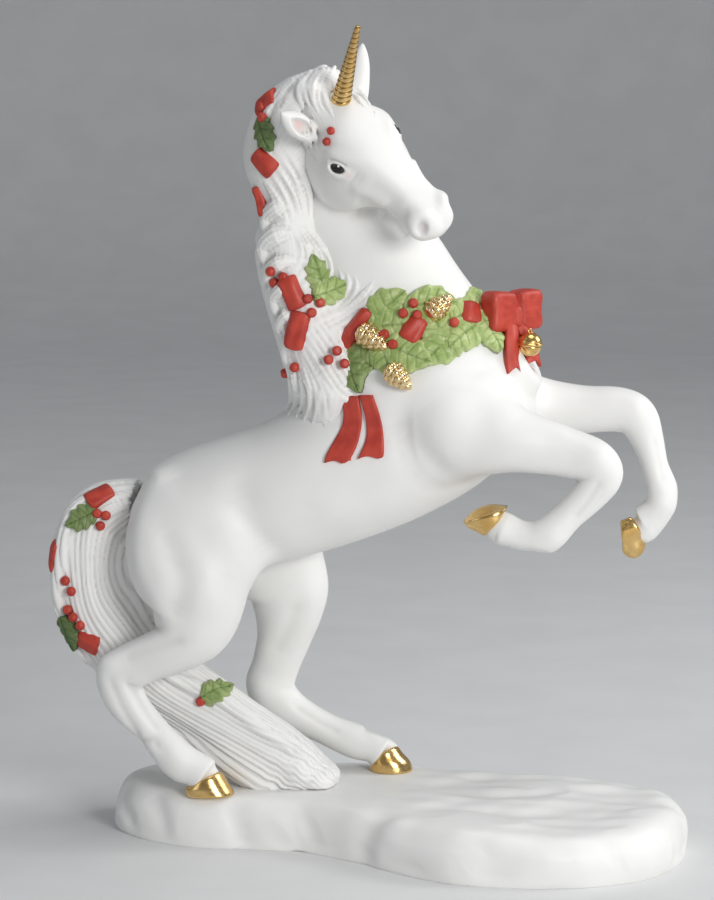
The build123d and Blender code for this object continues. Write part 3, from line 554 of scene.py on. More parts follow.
# What the castings leave over, as patches of the photo: behind the thigh, over the two hind pasterns, under
# the near fore pastern, and beyond the far brow
THIGH_BACK = [
    (143, 476), (131, 503), (125.5, 530), (125.5, 555), (129.5, 575), (138, 594), (148, 612), (156, 628),
    (140, 634), (124, 639), (106, 648), (90, 640), (90, 470),
]
NEAR_PASTERN_TOP = [
    (190, 728), (204, 745), (213, 756), (222, 765), (234, 772), (244, 752), (214, 722),
]
FAR_PASTERN_TOP = [
    (366, 729), (380, 735), (390, 738.5), (399, 743), (406, 750), (416, 740), (396, 716), (370, 718),
]
PASTERN_BELOW = [
    (478, 540), (486, 541.5), (497, 544.5), (515, 547), (531, 551), (545, 554), (552, 562), (478, 562),
]
FAR_BROW = [
    (372, 104), (383, 107), (391, 112), (394, 119), (396, 125), (398, 134), (404, 143), (412, 158),
    (428, 150), (428, 84), (372, 84),
]


def trim(clay, corners, lo, hi, blend):
    """Cuts away what lies under a patch of the photo, between two corners of the block."""
    s, x, y, z = clay.window(lo, hi)
    px, py, depth = pixels_of(x, y, z)
    inside = np.zeros(px.shape, bool)
    best = np.full(px.shape, 1e9)
    c = np.array(corners, float)
    for a, b in zip(c, np.roll(c, -1, 0)):
        ab = b - a
        t = np.clip(((px - a[0]) * ab[0] + (py - a[1]) * ab[1]) / (ab @ ab), 0, 1)
        best = np.minimum(best, (px - a[0] - t * ab[0]) ** 2 + (py - a[1] - t * ab[1]) ** 2)
        if a[1] != b[1]:
            inside ^= ((a[1] > py) != (b[1] > py)) & (px < a[0] + ab[0] * (py - a[1]) / ab[1])
    d = np.sqrt(best) * np.where(inside, -1, 1) * depth / FOCAL_PIXELS
    clay.d[s] = smooth_cut(clay.d[s], d.astype(np.float32), blend)


def at(px, py):
    return skin_point(BODY_TREE, px, py)


def model_body(clay, names):
    """Joins the castings with soft seams and works in the muscles; gives each casting's own distances."""
    own = {name: clay.read(name, band=int(BODY_BAND / clay.h)) for name in names}
    clay.d = own[names[0]].copy()
    for name in names[1:]:
        clay.d = smooth_join(clay.d, own[name], SEAMS[name])
    if "torso" in names:
        trim(clay, THIGH_BACK, (-92, -31, 40), (-52, 31, 104), 5.0)
        trim(clay, PASTERN_BELOW, (12, -31, 70), (52, 6, 92), 2.0)
        for hoof, (leg, pastern, _, _) in HOOF_WORK.items():
            tree = tree_of(leg, hoof)
            clay.rod([core(tree, px, py) for px, py, r in pastern], [r for px, py, r in pastern], 2.4)
        trim(clay, NEAR_PASTERN_TOP, (-78, -31, 8), (-48, 2, 40), 1.6)
        trim(clay, FAR_PASTERN_TOP, (-40, -4, 8), (10, 31, 50), 1.6)
    for pixels, width, depth in BODY_GROOVES:
        clay.groove([at(*pixel) for pixel in smooth_line(pixels, 14)], width, depth)
    for px, py, radius, height in BODY_BUMPS:
        clay.bump(at(px, py), radius, height)
    for k in range(RIBS):
        x, y = RIB_START[0] + RIB_STEP[0] * k, RIB_START[1] + RIB_STEP[1] * k
        rib = smooth_line([(x, y), (x - 6, y + 28), (x - 6, y + 56)], 10)
        clay.groove([at(*pixel) for pixel in rib], 3.4, 0.16)
    return own


def ellipsoid(clay, centre, axes, radii, blend, cut=False, power=2.0):
    """Joins or cuts an ellipsoid that lies along its own axes; a higher power makes it boxier."""
    c = np.array(centre, float)
    reach = max(radii) * (1.0 if power == 2.0 else 1.4) + blend + 2
    s, x, y, z = clay.window(c - reach, c + reach)
    total = 0
    for a, r in zip(axes, radii):
        total = total + np.abs(((x - c[0]) * a[0] + (y - c[1]) * a[1] + (z - c[2]) * a[2]) / r) ** power
    b = ((total ** (1 / power) - 1) * min(radii)).astype(np.float32)
    clay.d[s] = smooth_cut(clay.d[s], b, blend) if cut else smooth_join(clay.d[s], b, blend)


def eye_axes(side):
    """Out of the eye, towards the nose, and up."""
    look = LEFT * -0.86 + OUT * 0.42 if side < 0 else LEFT * 0.75 + OUT * 0.62
    look = (look + DOWN * 0.08) / np.linalg.norm(look + DOWN * 0.08)
    nose = DOWN - look * (DOWN @ look)
    nose /= np.linalg.norm(nose)
    up = OUT - look * (OUT @ look) - nose * (OUT @ nose)
    up /= np.linalg.norm(up)
    # the eye's corners lie on a slant across the face
    slant = math.radians(26)
    return look, nose * math.cos(slant) + up * math.sin(slant), up * math.cos(slant) - nose * math.sin(slant)


# Middles of the near and the far eyeball, under the skin
EYES = [
    skin_point(HEAD_TREE, 336.5, 169) - eye_axes(-1)[0] * 2.2,
    skin_point(HEAD_TREE, 395.5, 129) - eye_axes(1)[0] * 1.5 + pixel_ray(395.5, 129)[1] * 2.4,
]
# Half the eyeball's length, height and depth
EYEBALL = (3.0, 2.6, 2.36)
# The head's own mesh reaches this far from its middle, and takes in the ears above
HEAD_CENTRE = on_head(0.42, 0.0, -0.15)
HEAD_REACH, HEAD_LAP = 31.0, 0.8
EARS_ABOVE = 213.0
# Each ear's side and the way it points, the way its cup faces, and how it is drawn in: shortened, narrowed
# and moved
EAR_AXES = [(-1, DOWN * -0.52 - LEFT * 0.56 + OUT * 0.64), (1, DOWN * -0.64 + LEFT * 0.64 + OUT * 0.36)]
EAR_FRONTS = [DOWN * 0.10 - LEFT * 0.50 + OUT * 0.85, DOWN * 0.20 + LEFT * 0.95 - OUT * 0.10]
EAR_ROOTS = [on_head(0.12, side * 0.37, 0.0) for side, axis in EAR_AXES]
EAR_CUPS = [(root + axis * 8.5, front) for root, (_, axis), front in zip(EAR_ROOTS, EAR_AXES, EAR_FRONTS)]
EAR_DRAWN_IN = [(0.22, 0.20, -1.5), (0.0, 0.30, -0.4)]
# Where the paint blushes: middle, radius and strength
BLUSHES = [
    (on_head(0.93, -0.23, 0.0), 1.6, 0.30),
    (on_head(0.93, 0.23, 0.0), 1.6, 0.30),
    (EYES[0] + eye_axes(-1)[1] * 3.2 - eye_axes(-1)[2] * 0.6 + eye_axes(-1)[0] * 1.6, 1.1, 0.5),
    (EYES[1] + eye_axes(1)[1] * 3.2 - eye_axes(1)[2] * 0.6 + eye_axes(1)[0] * 1.6, 1.1, 0.5),
    (on_head(0.50, -0.30, -0.75), 6.0, 0.12),
]


def model_head(clay):
    """Face: cheeks, eye sockets and lids, facial ridge, nostrils, mouth and chin."""
    head = clay.read("head", band=int(HEAD_BAND / clay.h))
    clay.d = smooth_join(clay.d, head, 3.0)
    # the jaw's edge against the neck
    for pixels, width, depth in (
        ([(308, 178), (318, 194), (332, 207), (350, 212), (378, 212)], 2.2, 0.9),
        ([(378, 212), (398, 224), (412, 240)], 2.0, 0.6),
    ):
        clay.groove([skin_point(HEAD_AND_NECK, *pixel) for pixel in pixels], width, depth)
    trim(clay, FAR_BROW, (-8, -46, 178), (26, 4, 218), 1.4)
    for side in (-1, 1):
        look, nose, up = eye_axes(side)
        eye = EYES[0 if side < 0 else 1]
        # brow, the lids as one smooth cover, the fold above them, then the opening between them
        if side < 0:
            ellipsoid(clay, eye + look * 0.2 + up * 3.5 - nose * 0.3, (nose, up, look), (4.9, 1.7, 2.3), 1.8)
            ellipsoid(clay, eye, (nose, up, look), (4.2, 3.2, 2.74), 1.2)
        else:
            ellipsoid(clay, eye - look * 0.6 + up * 3.0 - nose * 1.2, (nose, up, look), (3.4, 1.5, 2.4), 1.6)
            ellipsoid(clay, eye, (nose, up, look), (3.3, 2.4, 2.5), 1.0)
        fold = []
        for k in np.linspace(-1, 1, 7):
            fold.append(eye + nose * (3.0 * k) + up * (2.05 - 0.8 * k * k) + look * (2.2 - 0.7 * k * k))
        clay.groove(fold, 0.6, 0.4)
        clay.groove([eye + nose * 4.4 - up * 1 + look * 1.4, eye + nose * 7 - up * 2 + look * 0.6], 2.4, 0.2)
        ellipsoid(clay, eye + look * 3.4, (nose, up, look), (2.75, 1.45, 2.6), 0.3, cut=True)
        # hollow above and behind the eye
        clay.bump(on_head(0.20, side * 0.40, 0.06), 3.6, -0.6)
        # facial ridge from below the eye towards the mouth, with hollows either side of it
        start = on_head(0.45, side * 0.42, -0.12)
        end = on_head(0.69, side * 0.29, -0.12)
        clay.groove([start, (start + end) / 2 + OUT * 0.3, end], 3.0, -0.7)
        clay.groove([start + DOWN * 3 - OUT * 5.0, end - OUT * 4.6 + DOWN * 1.5], 3.6, 0.7)
        clay.groove([start + DOWN * 4 + OUT * 4.2, end + OUT * 3.4 + DOWN * 3], 3.4, 0.3)
        # round cheek
        ellipsoid(clay, on_head(0.31, side * 0.30, -0.44), (DOWN, OUT, LEFT), (10.0, 8.6, 4.3), 3.0)
        # nostril: rim, then the soft opening
        place = on_head(0.905, side * 0.215, 0.005)
        slant = DOWN * 0.62 - OUT * 0.55 + LEFT * side * 0.56
        slant /= np.linalg.norm(slant)
        face = OUT * 0.45 + LEFT * side * 0.72 + DOWN * 0.52
        face /= np.linalg.norm(face)
        cross = np.cross(face, slant)
        ellipsoid(clay, place - face * 0.5, (slant, cross, face), (3.5, 2.9, 1.7), 1.8)
        opening = place + face * 1.35 + slant * 0.2
        ellipsoid(clay, opening, (slant, cross, face), (2.0, 1.35, 1.5), 1.1, cut=True)
        # corner of the mouth
        corner = on_head(0.80, side * 0.235, -0.235)
        front = on_head(0.97, side * 0.10, -0.225)
        middle = on_head(0.90, side * 0.225, -0.235)
        clay.groove([corner, middle, front], 0.75, 0.6)
        clay.bump(on_head(0.86, side * 0.2, -0.33), 2.4, 0.5)
    lips = [on_head(0.97, -0.10, -0.225), on_head(0.995, 0.0, -0.222), on_head(0.97, 0.10, -0.225)]
    clay.groove(lips, 0.75, 0.55)
    clay.bump(on_head(0.92, 0.0, -0.34), 2.6, 0.7)


def build_eyes():
    """Both painted eyeballs, with the paint's edges and the painted highlight kept as marks."""
    heap = Heap()
    towards = camera_axes()[2]
    for side in (-1, 1):
        look, nose, up = eye_axes(side)
        eye = EYES[0 if side < 0 else 1]
        p, faces = ball_points(48, 64)
        ray = p[:, :1] * nose + p[:, 1:2] * up + p[:, 2:] * look
        # where the painted highlight sits: turned partly towards the camera on the near eye, along the look
        # on the far eye, a little up
        aim = look * 0.6 + (towards if side < 0 else look) * 0.4 + up * 0.18
        aim /= np.linalg.norm(aim)

        def spot(axis, inner, outer):
            turn = np.degrees(np.arccos(np.clip(ray @ axis, -1, 1)))
            return np.clip((outer - turn) / (outer - inner), 0, 1)

        ball = p[:, :1] * nose * EYEBALL[0] + p[:, 1:2] * up * EYEBALL[1] + p[:, 2:] * look * EYEBALL[2]
        heap.add(eye + ball, faces, iris=spot(look, 46, 52), pupil=spot(look, 24, 32), glint=spot(aim, 5, 8))
    heap.piece("painted_eyes", EYE, ["head"])


def read_ears(clay):
    """The ears, drawn in a little across and thickened."""
    ears = zip(("right_ear", "left_ear"), EAR_AXES, EAR_FRONTS, EAR_ROOTS, EAR_DRAWN_IN)
    for name, (_, axis), front, root, (shorter, narrower, shift) in ears:
        points, faces = node_mesh(name)
        across = np.cross(axis, front)
        across /= np.linalg.norm(across)
        from_root = points - root
        points = points - narrower * (from_root @ across)[:, None] * across
        points = points - shorter * (from_root @ axis)[:, None] * axis
        points = points + shift * camera_axes()[0]
        ear = clay.fill(points.astype(np.float32), faces, int(EAR_BAND / clay.h)) - np.float32(0.4)
        clay.d = smooth_join(clay.d, ear, 1.4)


def cavity_of(clay, points, reach):
    """How far a point lies in a hollow: 0 on open skin, 1 deep in a crease."""
    total = 0
    for k in range(3):
        e = np.eye(3)[k] * reach
        total = total + clay.sample(clay.d, points + e) + clay.sample(clay.d, points - e)
    return np.clip(-total / reach * 0.9, 0, 1)


def part_mesh(points, quads, normals, marks, keep):
    """The part of a mesh whose faces are kept."""
    quads = quads[keep]
    used, back = np.unique(quads, return_inverse=True)
    return points[used], back.reshape(quads.shape), normals[used], {k: v[used] for k, v in marks.items()}


def build_horse():
    """The body's castings and the head; gives their skins."""
    skins = {}
    # the whole body, with the head's rough form so that the neck flows into it
    clay = Clay(*BODY_BLOCK, BODY_VOXEL)
    own = model_body(clay, BODY_NODES)
    model_head(clay)
    points, quads, normals = clay.skin()
    # crease depth, painted as shade in the creases
    marks = plain_marks(cavity_of(clay, points, 1.6))
    centre = points[quads].mean(1)
    away = np.linalg.norm(centre - HEAD_CENTRE, axis=1)
    nearest = np.argmin(np.stack([clay.sample(own[name], centre) for name in BODY_NODES]), 0)
    outside = away > HEAD_REACH - HEAD_LAP
    for k, name in enumerate(BODY_NODES):
        part = part_mesh(points, quads, normals, marks, (nearest == k) & outside)
        bisque_piece(name + "_skin", [name], *part)
    skins["body"] = (points, quads[outside])
    # the head, finer
    clay = Clay(*HEAD_BLOCK, HEAD_VOXEL)
    model_body(clay, ["torso", "neck"])
    model_head(clay)
    read_ears(clay)
    points, quads, normals = clay.skin()
    blush = np.zeros(len(points))
    for place, radius, strength in BLUSHES:
        blush += strength * np.exp(-((points - place) ** 2).sum(1) / radius**2)
    for place, facing in EAR_CUPS:
        inside = np.clip(normals @ facing * 2.5 - 0.4, 0, 1) * (cavity_of(clay, points, 2.4) > 0.02)
        blush += 0.8 * inside * np.exp(-((points - place) ** 2).sum(1) / 4.2**2)
    # crease depth, painted as shade in the creases, and the pink blush
    marks = {"cavity": cavity_of(clay, points, 0.9), "blush": np.clip(blush, 0, 1)}
    middle = points[quads].mean(1)
    inside = (np.linalg.norm(middle - HEAD_CENTRE, axis=1) < HEAD_REACH) | (middle[:, 2] > EARS_ABOVE)
    head = part_mesh(points, quads, normals, marks, inside)
    bisque_piece("head_skin", ["head", "right_ear", "left_ear"], *head)
    skins["head"] = head[:2]
    return skins


SKINS = build_horse()


# Hair


def line_frames(line):
    """Two directions across a line at each of its points, turning as little as they can."""
    t = np.gradient(line, axis=0)
    t /= np.linalg.norm(t, axis=1)[:, None]
    u = np.cross(t[0], (0.3, 0.9, 0.2))
    us = []
    for k in range(len(line)):
        u = u - t[k] * (u @ t[k])
        u /= np.linalg.norm(u)
        us.append(u)
    us = np.array(us)
    return t, us, np.cross(t, us)


# Points worked on at a time, to spare memory
CHUNK = 120000


def strands(clay, line, layers, wander, frizz=0.0):
    """Combs grooves along a line into the clay's surface; layers are (strands round, height, drift)."""
    line = smooth_line(line, 150)
    slope = np.gradient(line, axis=0)
    slope /= np.linalg.norm(slope, axis=1)[:, None]
    _, us, vs = line_frames(line)
    run = np.concatenate([[0], np.cumsum(np.linalg.norm(np.diff(line, axis=0), axis=1))])
    near = np.nonzero(np.abs(clay.d) < 2.6)
    p = np.stack([(near[k] + clay.lo[k]) * clay.h for k in range(3)], 1).astype(np.float32)
    lift = np.zeros(len(p), np.float32)
    for first in range(0, len(p), CHUNK):
        q = p[first : first + CHUNK]
        d2 = (q**2).sum(1)[:, None] - 2 * q @ line.T.astype(np.float32) + (line**2).sum(1).astype(np.float32)
        k = np.argmin(d2, 1)
        w = q - line[k]
        s = run[k] + (w * slope[k]).sum(1)
        turn = np.arctan2((w * vs[k]).sum(1), (w * us[k]).sum(1))
        warp = wander * (np.sin(s / 11.0 + 2 * turn) + 0.5 * np.sin(s / 5.3 - 3 * turn + 1.0))
        by_the_end = np.clip((s / run[-1] - 0.84) / 0.12, 0, 1)
        warp = warp + frizz * np.sin(s / 0.95 + 2.0 * np.sin(5 * turn)) * by_the_end
        total = 0
        for count, height, drift in layers:
            phase = count * (turn + warp + drift * s) * 0.5
            total = total + height * (np.abs(np.sin(phase)) - 0.64)
        lift[first : first + CHUNK] = total
    clay.d[near] -= lift


LOCK_BLEND = 0.4


def lock(clay, line, radius, ridges=7, depth=0.09, taper=(0.3, 1.0, 0.2)):
    """A tapering lock of hair along a line, with strands running down it."""
    line = smooth_line(line, 18)
    t, us, vs = line_frames(line)
    share = np.linspace(0, 1, len(line))
    radii = radius * np.interp(share, (0, 0.35, 1), taper)
    reach = radius * 1.3 + LOCK_BLEND + 1.2
    s, x, y, z = clay.window(line.min(0) - reach, line.max(0) + reach)
    shape = np.broadcast_shapes(x.shape, y.shape, z.shape)
    if 0 in shape:
        return
    best = np.full(shape, 1e6, np.float32)
    which = np.zeros(shape, np.int16)
    for k in range(len(line)):
        d = (x - line[k, 0]) ** 2 + (y - line[k, 1]) ** 2 + (z - line[k, 2]) ** 2
        closer = d < best
        np.copyto(best, d, where=closer, casting="same_kind")
        which[closer] = k
    near = best < reach**2
    k = which[near]
    q = np.stack([np.broadcast_to(c, shape)[near] for c in (x, y, z)], 1)
    w = q - line[k]
    w = w - t[k] * np.clip((w * t[k]).sum(1), -2.0, 2.0)[:, None]
    turn = np.arctan2((w * vs[k]).sum(1), (w * us[k]).sum(1))
    size = radii[k] * (1 - depth + depth * 1.6 * np.abs(np.sin(ridges * turn / 2 + share[k] * 2.2)))
    d = np.full(shape, 50.0, np.float32)
    d[near] = np.linalg.norm(w, axis=1) - size
    clay.d[s] = smooth_join(clay.d[s], d, LOCK_BLEND)


def lay(tree, pixels, sink, far=False):
    """A line on a surface under the photo's pixels, sunk a little into it."""
    line = []
    for px, py in pixels:
        inward = pixel_ray(px, py)[1] * (-sink if far else sink)
        line.append((far_point if far else skin_point)(tree, px, py) + inward)
    return line


def bundle(first, second, count):
    """Lines of pixels spread evenly from one line to another, each waving a little its own way."""
    a, b = smooth_line(first, 12), smooth_line(second, 12)
    t = np.linspace(0, 1, 12)
    lines = []
    for k in range(count):
        wave = 1.1 * np.sin(5.0 * t + 2.4 * k) * np.sin(math.pi * t)
        across = b - a
        across = across / np.maximum(np.linalg.norm(across, axis=1), 1e-6)[:, None]
        lines.append(a + (b - a) * ((k + 0.5) / count) + across * wave[:, None])
    return lines


# The middles of the mane and the tail, along which their strands are combed
MANE_LINE = [
    (-13.1, -22.3, 207.0), (-18.3, -18.0, 204.9), (-25.4, -13.7, 198.1), (-29.2, -10.1, 187.7),
    (-28.2, -7.2, 176.2), (-28.0, -6.1, 164.2), (-25.1, -5.0, 154.0), (-20.5, -3.6, 141.9),
    (-17.1, -2.9, 131.1), (-16.0, -2.9, 122.6), (-17.4, -2.9, 115.5),
]
TAIL_LINE = [
    (-65.9, 0, 92.0), (-73.1, 0, 92.6), (-81.1, 0, 89.7), (-86.0, 0, 84.9), (-88.0, 0, 73.9),
    (-86.0, 0, 62.0), (-79.0, 0, 51.0), (-69.1, 0, 42.1), (-57.1, 0, 34.6), (-45.1, 0, 27.5),
    (-33.1, 0, 21.5), (-24.0, 0, 16.5), (-17.9, 0, 13.6),
]
# Bundles of locks as seen in the photo: pixels along the first and the last lock, and how many
MANE_BUNDLES = [
    ([(288, 88), (264, 112), (254, 145), (256, 176)], [(300, 90), (283, 108), (277, 136), (281, 158)], 4),
    ([(312, 70), (288, 82), (270, 100), (262, 122)], [(322, 70), (306, 82), (292, 94), (284, 110)], 3),
    ([(259, 178), (275, 200), (284, 220), (284, 238)], [(286, 142), (306, 172), (313, 204), (310, 234)], 5),
    ([(288, 222), (298, 242), (297, 262), (283, 278)], [(311, 228), (327, 250), (337, 272), (318, 298)], 5),
    (
        [(373, 274), (366, 290), (343, 310), (312, 323)],
        [(386, 284), (381, 300), (357, 318), (330, 332), (306, 340)],
        3,
    ),
    ([(332, 260), (341, 285), (330, 305), (309, 317)], [(355, 268), (361, 288), (345, 306), (318, 323)], 3),
    (
        [(318, 312), (338, 340), (353, 368), (372, 390), (392, 386)],
        [(300, 342), (318, 366), (331, 390), (346, 403), (364, 401)],
        5,
    ),
    ([(303, 346), (322, 374), (332, 396), (333, 412)], [(302, 352), (318, 380), (324, 404), (322, 424)], 2),
    ([(301, 352), (317, 380), (321, 404), (316, 425)], [(283, 350), (289, 378), (286, 402), (272, 418)], 5),
    ([(290, 296), (302, 318), (306, 340), (302, 356)], [(276, 318), (284, 334), (287, 346), (285, 360)], 3),
]
# Rolled curls down the back of the neck: pixels along each, and its radius in mm
MANE_CURLS = [
    ([(294, 204), (280, 207), (268, 217), (268, 231)], 3.0),
    ([(295, 232), (279, 234), (265, 245), (266, 259)], 3.2),
    ([(296, 261), (281, 262), (270, 272), (272, 286)], 2.9),
    ([(297, 287), (285, 289), (275, 299), (278, 312)], 2.7),
    ([(300, 311), (289, 313), (281, 324), (284, 336)], 2.5),
    ([(302, 336), (292, 340), (286, 351), (289, 364)], 2.2),
]
# Notches between the curls on the mane's outline
MANE_NOTCHES = [(257, 245), (260, 265), (265, 285), (270, 301), (275, 317), (280, 335), (257, 222)]
# The forelock, the hair by the far ear and the tuft under the near ear, on the head
FORE_BUNDLES = [
    ([(304, 78), (297, 92), (300, 108)], [(335, 71), (327, 88), (329, 106), (339, 122)], 5),
    ([(356, 84), (366, 92), (374, 104)], [(350, 95), (360, 104), (369, 113)], 3),
    ([(302, 132), (304, 145), (311, 154)], [(314, 126), (317, 140), (318, 152)], 3),
]


def spacing(first, last, count):
    """The mean distance in mm between the locks of a bundle."""
    gap = np.linalg.norm(smooth_line(first, 12) - smooth_line(last, 12), axis=1).mean()
    return gap / count * DISTANCE / FOCAL_PIXELS


def settle(line, rounds=3):
    """Takes the jumps out of a line laid over steps."""
    line = np.array(line)
    for _ in range(rounds):
        line[1:-1] = 0.25 * line[:-2] + 0.5 * line[1:-1] + 0.25 * line[2:]
    return line


# How deep curls, locks and the locks on the head lie, as shares of their radius
CURL_SINK, LOCK_SINK, FORELOCK_SINK = 0.36, 0.48, 0.2


def build_mane():
    """The mane and forelock: combed hair, rolled curls with notches between them, and bundles of locks."""
    clay = Clay(*MANE_BLOCK, HAIR_VOXEL)
    clay.d = clay.read("mane", band=int(HAIR_BAND / clay.h))
    clay.blur(3)
    strands(clay, MANE_LINE, [(61, 0.16, -0.006)], wander=0.14)
    near = skin_tree(SKINS["body"], SKINS["head"], node_mesh("mane"))
    far = tree_of("mane")
    for pixels, size in MANE_CURLS:
        for tree, turned in ((near, False), (far, True)):
            line = settle(lay(tree, smooth_line(pixels, 12), size * CURL_SINK, turned), 1)
            lock(clay, line, size, ridges=13, depth=0.06, taper=(0.35, 1.0, 0.6))
    for first, last, count in MANE_BUNDLES + FORE_BUNDLES:
        gap = spacing(first, last, count)
        radius = np.clip(gap * 0.92, 0.9, 2.0)
        for k, pixels in enumerate(bundle(first, last, count)):
            size = radius * (1 + 0.16 * math.sin(2.7 * k + first[0][0]))
            sink = FORELOCK_SINK if (first, last, count) in FORE_BUNDLES else LOCK_SINK
            lock(clay, settle(lay(near, pixels, size * sink)), size)
            if first[0][1] > 80:
                lock(clay, settle(lay(far, pixels, size * LOCK_SINK, far=True)), size)
        for k in range(1, count):
            pixels = smooth_line(first, 12) * (1 - k / count) + smooth_line(last, 12) * (k / count)
            clay.groove(settle(lay(near, pixels, -radius * 0.30)), 0.62, 0.30)
    for px, py in MANE_NOTCHES:
        pixels = smooth_line([(px + 24, py - 9), (px + 11, py - 6), (px + 3, py)], 8)
        clay.groove(lay(near, pixels, 0) + lay(far, pixels[::-1], 0, far=True), 1.15, 0.9)
    points, quads, normals = clay.skin()
    marks = plain_marks(cavity_of(clay, points, 0.8))
    bisque_piece("mane_hair", ["mane", "mane_locks", "forelock"], points, quads, normals, marks)
    return points, quads


def build_tail():
    """The tail: combed hair that ends in a spread on the snow."""
    clay = Clay(*TAIL_BLOCK, HAIR_VOXEL)
    clay.d = clay.read("tail", "tail_locks", band=int(HAIR_BAND / clay.h))
    # hair that fills the inside of the bend, and the spread end on the snow
    ellipsoid(clay, (-73, 0, 70), np.eye(3), (13, 6.4, 19), 5.0)
    spread = ((0.87, 0.0, -0.5), (0.0, 1.0, 0.0), (0.5, 0.0, 0.87))
    ellipsoid(clay, (-40, -5, 17), spread, (12, 6.0, 4.6), 4.0)
    clay.blur(2)
    layers = [(13, 0.35, 0.0), (41, 0.42, 0.002), (97, 0.22, -0.002)]
    strands(clay, TAIL_LINE, layers, wander=0.07, frizz=0.06)
    points, quads, normals = clay.skin()
    marks = plain_marks(cavity_of(clay, points, 0.9) * 0.8)
    bisque_piece("tail_hair", ["tail", "tail_locks"], points, quads, normals, marks)
    return points, quads


def ripple(x, y, z, size, seed):
    """Soft uneven waves of about the given size."""
    rng = np.random.default_rng(seed)
    total = 0
    for k in range(9):
        way = rng.normal(size=3)
        way /= np.linalg.norm(way) * size * (0.7 + 0.09 * k)
        total = total + np.sin(x * way[0] + y * way[1] + z * way[2] + rng.uniform(0, 6.28))
    return total / 3.0


# Creases and hollows of the snow: pixels along each, width and depth in mm
BASE_DRIFTS = [
    ([(380, 806), (369, 826), (364, 842), (363, 854)], 4.5, 1.6),
    ([(122, 786), (124, 806), (134, 826)], 2.6, 1.3), ([(152, 792), (158, 812), (164, 832)], 3.0, 0.8),
    ([(232, 812), (240, 828), (244, 846)], 4.0, 0.9), ([(296, 812), (300, 830), (298, 850)], 5.0, 0.9),
    ([(430, 782), (470, 792), (520, 794), (570, 790)], 3.6, 0.9),
    ([(470, 806), (510, 812), (560, 808), (610, 812)], 4.4, 0.9),
    ([(560, 822), (600, 828), (640, 822)], 4.4, 0.7), ([(478, 838), (486, 856), (490, 876)], 6.0, 0.6),
    ([(600, 838), (612, 856), (616, 872)], 6.0, 0.6),
]


def build_base():
    """The snow drift: a soft rim, a bumpy wall, and drifts on top where nothing stands."""
    clay = Clay(*BASE_BLOCK, BASE_VOXEL)
    clay.d = clay.read("base", band=int(BODY_BAND / clay.h))
    cast = clay.d.copy()
    clay.blur(20)
    s, x, y, z = clay.window(*BASE_BLOCK)
    foot = np.clip(1 - z / 7, 0, 1).astype(np.float32)
    clay.d[s] = clay.d[s] * (1 - foot) + cast[s] * foot
    top = np.clip((z - 8) / 5, 0, 1)
    wall = 1 - top
    clear = 0.15 + 0.85 * np.clip((x + 4) / 14, 0, 1)
    broad = np.clip(ripple(x, y, z * 0.4, 4.6, 5) + 0.3, 0, 2)
    fine = np.clip(ripple(x, y, z, 1.9, 8), 0, 2)
    dents = wall * (0.8 * broad + 0.25 * fine)
    drifts = 0.65 * ripple(x, y * 1.3, z * 0, 5.2, 11)
    waves = top * clear * (0.5 + drifts + 0.25 * ripple(x, y * 1.4, z * 0, 2.2, 12))
    clay.d[s] += (dents * np.clip(z / 3.0, 0, 1) + np.clip(waves, 0, 2) - 0.6 * wall).astype(np.float32)
    tree = tree_of("base")
    for pixels, width, depth in BASE_DRIFTS:
        clay.groove([skin_point(tree, *pixel) for pixel in smooth_line(pixels, 12)], width, depth)
    points, quads, normals = clay.skin()
    lo, hi = (np.array(c) * MM_PER_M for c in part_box("base"))
    points = np.clip(points, lo, hi)
    marks = plain_marks(cavity_of(clay, points, 1.6) * 0.5)
    bisque_piece("snow_base", ["base"], points, quads, normals, marks)


# Clay round a hoof, voxels read round it, and the gilding's thickness
HOOF_ROOM, HOOF_BAND, GILDING = 4, 24, 0.14


def build_hooves():
    """The gilded hooves: rounded, swollen over the toe and ended at the coronet."""
    right, up, back = camera_axes()
    for name, (_, _, patch, (px, py, width, height, depth, lean)) in HOOF_WORK.items():
        lo, hi = (np.array(c) * MM_PER_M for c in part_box(name))
        clay = Clay(lo - HOOF_ROOM, hi + HOOF_ROOM, HOOF_VOXEL)
        clay.d = clay.read(name, band=HOOF_BAND)
        a = math.radians(lean)
        axes = (right * math.cos(a) - up * math.sin(a), up * math.cos(a) + right * math.sin(a), back)
        ellipsoid(clay, core(tree_of(name), px, py), axes, (width, height, depth), 1.6)
        trim(clay, patch, lo - HOOF_ROOM, hi + HOOF_ROOM, 0.5)
        clay.blur(3)
        clay.d -= np.float32(GILDING)
        points, quads, normals = clay.skin()
        make_piece(name + "_gilt", points, quads, GOLD, nodes_for=[name], normals=normals)


def ring_faces(rows, around):
    """Quads of a tube of rings."""
    i = np.arange(rows - 1)[:, None] * around
    j = np.arange(around)[None, :]
    k = (j + 1) % around
    return np.stack([i + j, i + k, i + around + k, i + around + j], -1).reshape(-1, 4)


# The horn's length, root radius, how much that tapers, turns of its ridge, and its mesh's rows and columns
HORN_LENGTH, HORN_RADIUS, HORN_TAPER, HORN_TURNS = 32.0, 2.80, 2.05, 17.5
HORN_ROWS, HORN_AROUND = 260, 48


